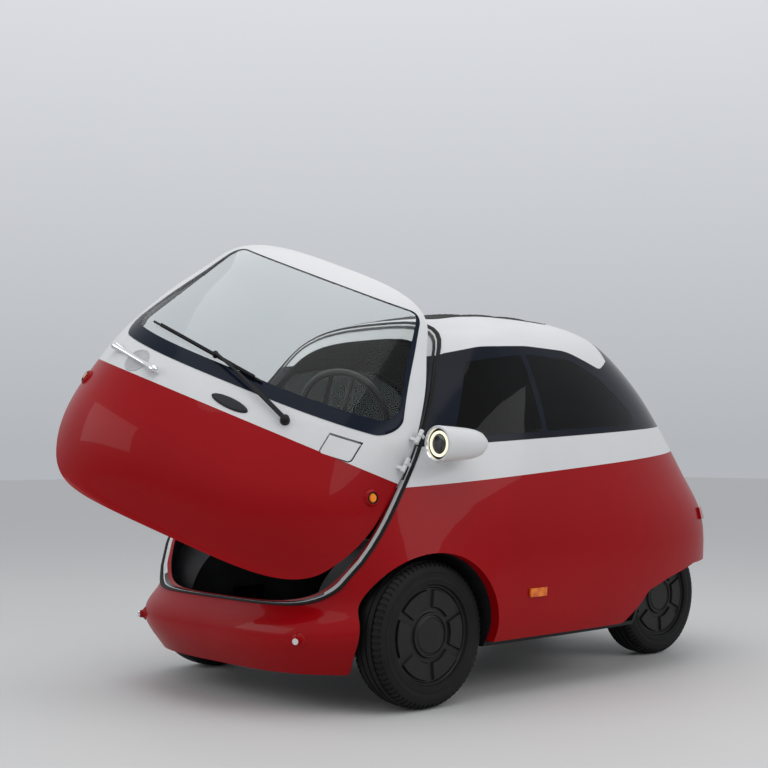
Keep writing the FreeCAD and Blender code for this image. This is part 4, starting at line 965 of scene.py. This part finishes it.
# The folding roof is black coated cloth, stretched over cross bows. It sags a little between
# them, wrinkles finely and lies flat round its edge, where it is fixed to the roof.
BOWS = 4
BOW_RISE = 0.004
BOW_SAG = 0.0025
WRINKLE = 0.0006
WRINKLE_ACROSS = 190
WRINKLE_ALONG = 37
EDGE_POWER = 6
EDGE_SLOPE = 8
UPWARD = 0.6
DOWNWARD = -0.3
CLOTH_WALL = 0.0015
CLOTH_MESH = 0.018
canvas_low, canvas_high = [Vector(corner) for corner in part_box("sunroof_canvas")]
canvas = merged_copy("roof_cloth", "sunroof_canvas")
work = bmesh.new()
work.from_mesh(canvas.data)
work.normal_update()
under = [face for face in work.faces if face.normal.z < DOWNWARD]
bmesh.ops.delete(work, geom=under, context="FACES")
split_long(work, CLOTH_MESH, 3)
work.normal_update()
length = canvas_high.y - canvas_low.y
width = canvas_high.x - canvas_low.x
for corner in work.verts:
    if corner.normal.z > UPWARD:
        share = (corner.co.y - canvas_low.y) / length
        side = 2 * corner.co.x / width
        inner = max(0.0, 1 - side ** EDGE_POWER) * min(1.0, EDGE_SLOPE * share,
                                                       EDGE_SLOPE * (1 - share))
        wave = 0.5 + 0.5 * math.cos(math.tau * share * BOWS)
        ripple = math.sin(WRINKLE_ACROSS * corner.co.x + WRINKLE_ALONG * corner.co.y)
        corner.co.z += inner * (BOW_RISE * wave ** 3 - BOW_SAG * (1 - wave) + WRINKLE * ripple)
work.to_mesh(canvas.data)
work.free()
thicken(canvas, CLOTH_WALL)
cloth = surface("coated_cloth", (0.008, 0.008, 0.009), (0.014, 0.014, 0.015), 16, (0.6, 0.8),
                1400, 0.0004, Specular_IOR_Level=0.2)
complete(canvas, cloth, "body")
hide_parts("sunroof_canvas")

# The bench is foam in woven black cloth: a cushion and a back, each sewn in channels that
# run fore and aft on the cushion and upright on the back.
VOXEL = 0.011
CLOTH_PRESSURE = 4
CLOTH_STEPS = 20
SWELL_LIMIT = 0.018
CHANNEL_PITCH = 0.120
CHANNEL_DEPTH = 0.006
CHANNEL_WIDTH = 0.008
CHANNEL_MARGIN = 0.05
START_SHRINK = 0.006
PAD_ROUND = 0.030
PAD_ROOM = 0.001
FACING = 0.5
weave = surface("bench_weave", (0.007, 0.007, 0.0075), (0.016, 0.016, 0.017), 90, (0.75, 0.9),
                1600, 0.0006, Sheen_Weight=0.3)


def bench_pad(name, node, faces):
    """A stuffed pad in the space of its plain solid, blown up by a cloth simulation."""
    lowest, highest = [Vector(corner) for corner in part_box(node)]
    middle = (lowest + highest) / 2
    half = (highest - lowest) / 2
    bpy.ops.object.select_all(action="DESELECT")
    bpy.ops.mesh.primitive_cube_add(size=2, location=middle)
    pad = bpy.context.object
    pad.name = name
    pad.scale = [reach - START_SHRINK for reach in half]
    bpy.ops.object.transform_apply(location=True, rotation=True, scale=True)
    bpy.ops.object.mode_set(mode="EDIT")
    bpy.ops.mesh.select_all(action="SELECT")
    bpy.ops.mesh.bevel(offset=PAD_ROUND, segments=4)
    bpy.ops.object.mode_set(mode="OBJECT")
    voxels = pad.modifiers.new("voxels", "REMESH")
    voxels.mode = "VOXEL"
    voxels.voxel_size = VOXEL
    bpy.ops.object.modifier_apply(modifier="voxels")
    rest = [corner.co.copy() for corner in pad.data.vertices]
    sim = pad.modifiers.new("cloth", "CLOTH")
    sim.settings.use_pressure = True
    sim.settings.uniform_pressure_force = CLOTH_PRESSURE
    sim.settings.effector_weights.gravity = 0
    sim.point_cache.frame_start = 1
    sim.point_cache.frame_end = CLOTH_STEPS
    for step in range(1, CLOTH_STEPS + 1):
        bpy.context.scene.frame_set(step)
    only(pad)
    bpy.ops.object.modifier_apply(modifier="cloth")
    bpy.context.scene.frame_set(1)
    for corner, start in zip(pad.data.vertices, rest):
        move = corner.co - start
        if move.length > SWELL_LIMIT:
            corner.co = start + move * (SWELL_LIMIT / move.length)
    for corner in pad.data.vertices:
        for axis in range(3):
            corner.co[axis] = min(max(corner.co[axis], lowest[axis] + PAD_ROOM),
                                  highest[axis] - PAD_ROOM)
    for corner in pad.data.vertices:
        off = (corner.co.x + CHANNEL_PITCH / 2) % CHANNEL_PITCH - CHANNEL_PITCH / 2
        if abs(corner.co.x) < half.x - CHANNEL_MARGIN and corner.normal.dot(faces) > FACING:
            corner.co -= faces * CHANNEL_DEPTH * math.exp(-(off / CHANNEL_WIDTH) ** 2)
    rounder = pad.modifiers.new("rounder", "SUBSURF")
    rounder.levels = 1
    rounder.render_levels = 1
    only(pad)
    bpy.ops.object.modifier_apply(modifier="rounder")
    complete(pad, weave, "body")
    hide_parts(node)


bench_pad("bench_cushion", "seat_cushion", Vector((0, 0, 1)))
bench_pad("bench_back", "seat_back", Vector((0, -1, 0)))

low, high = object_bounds()
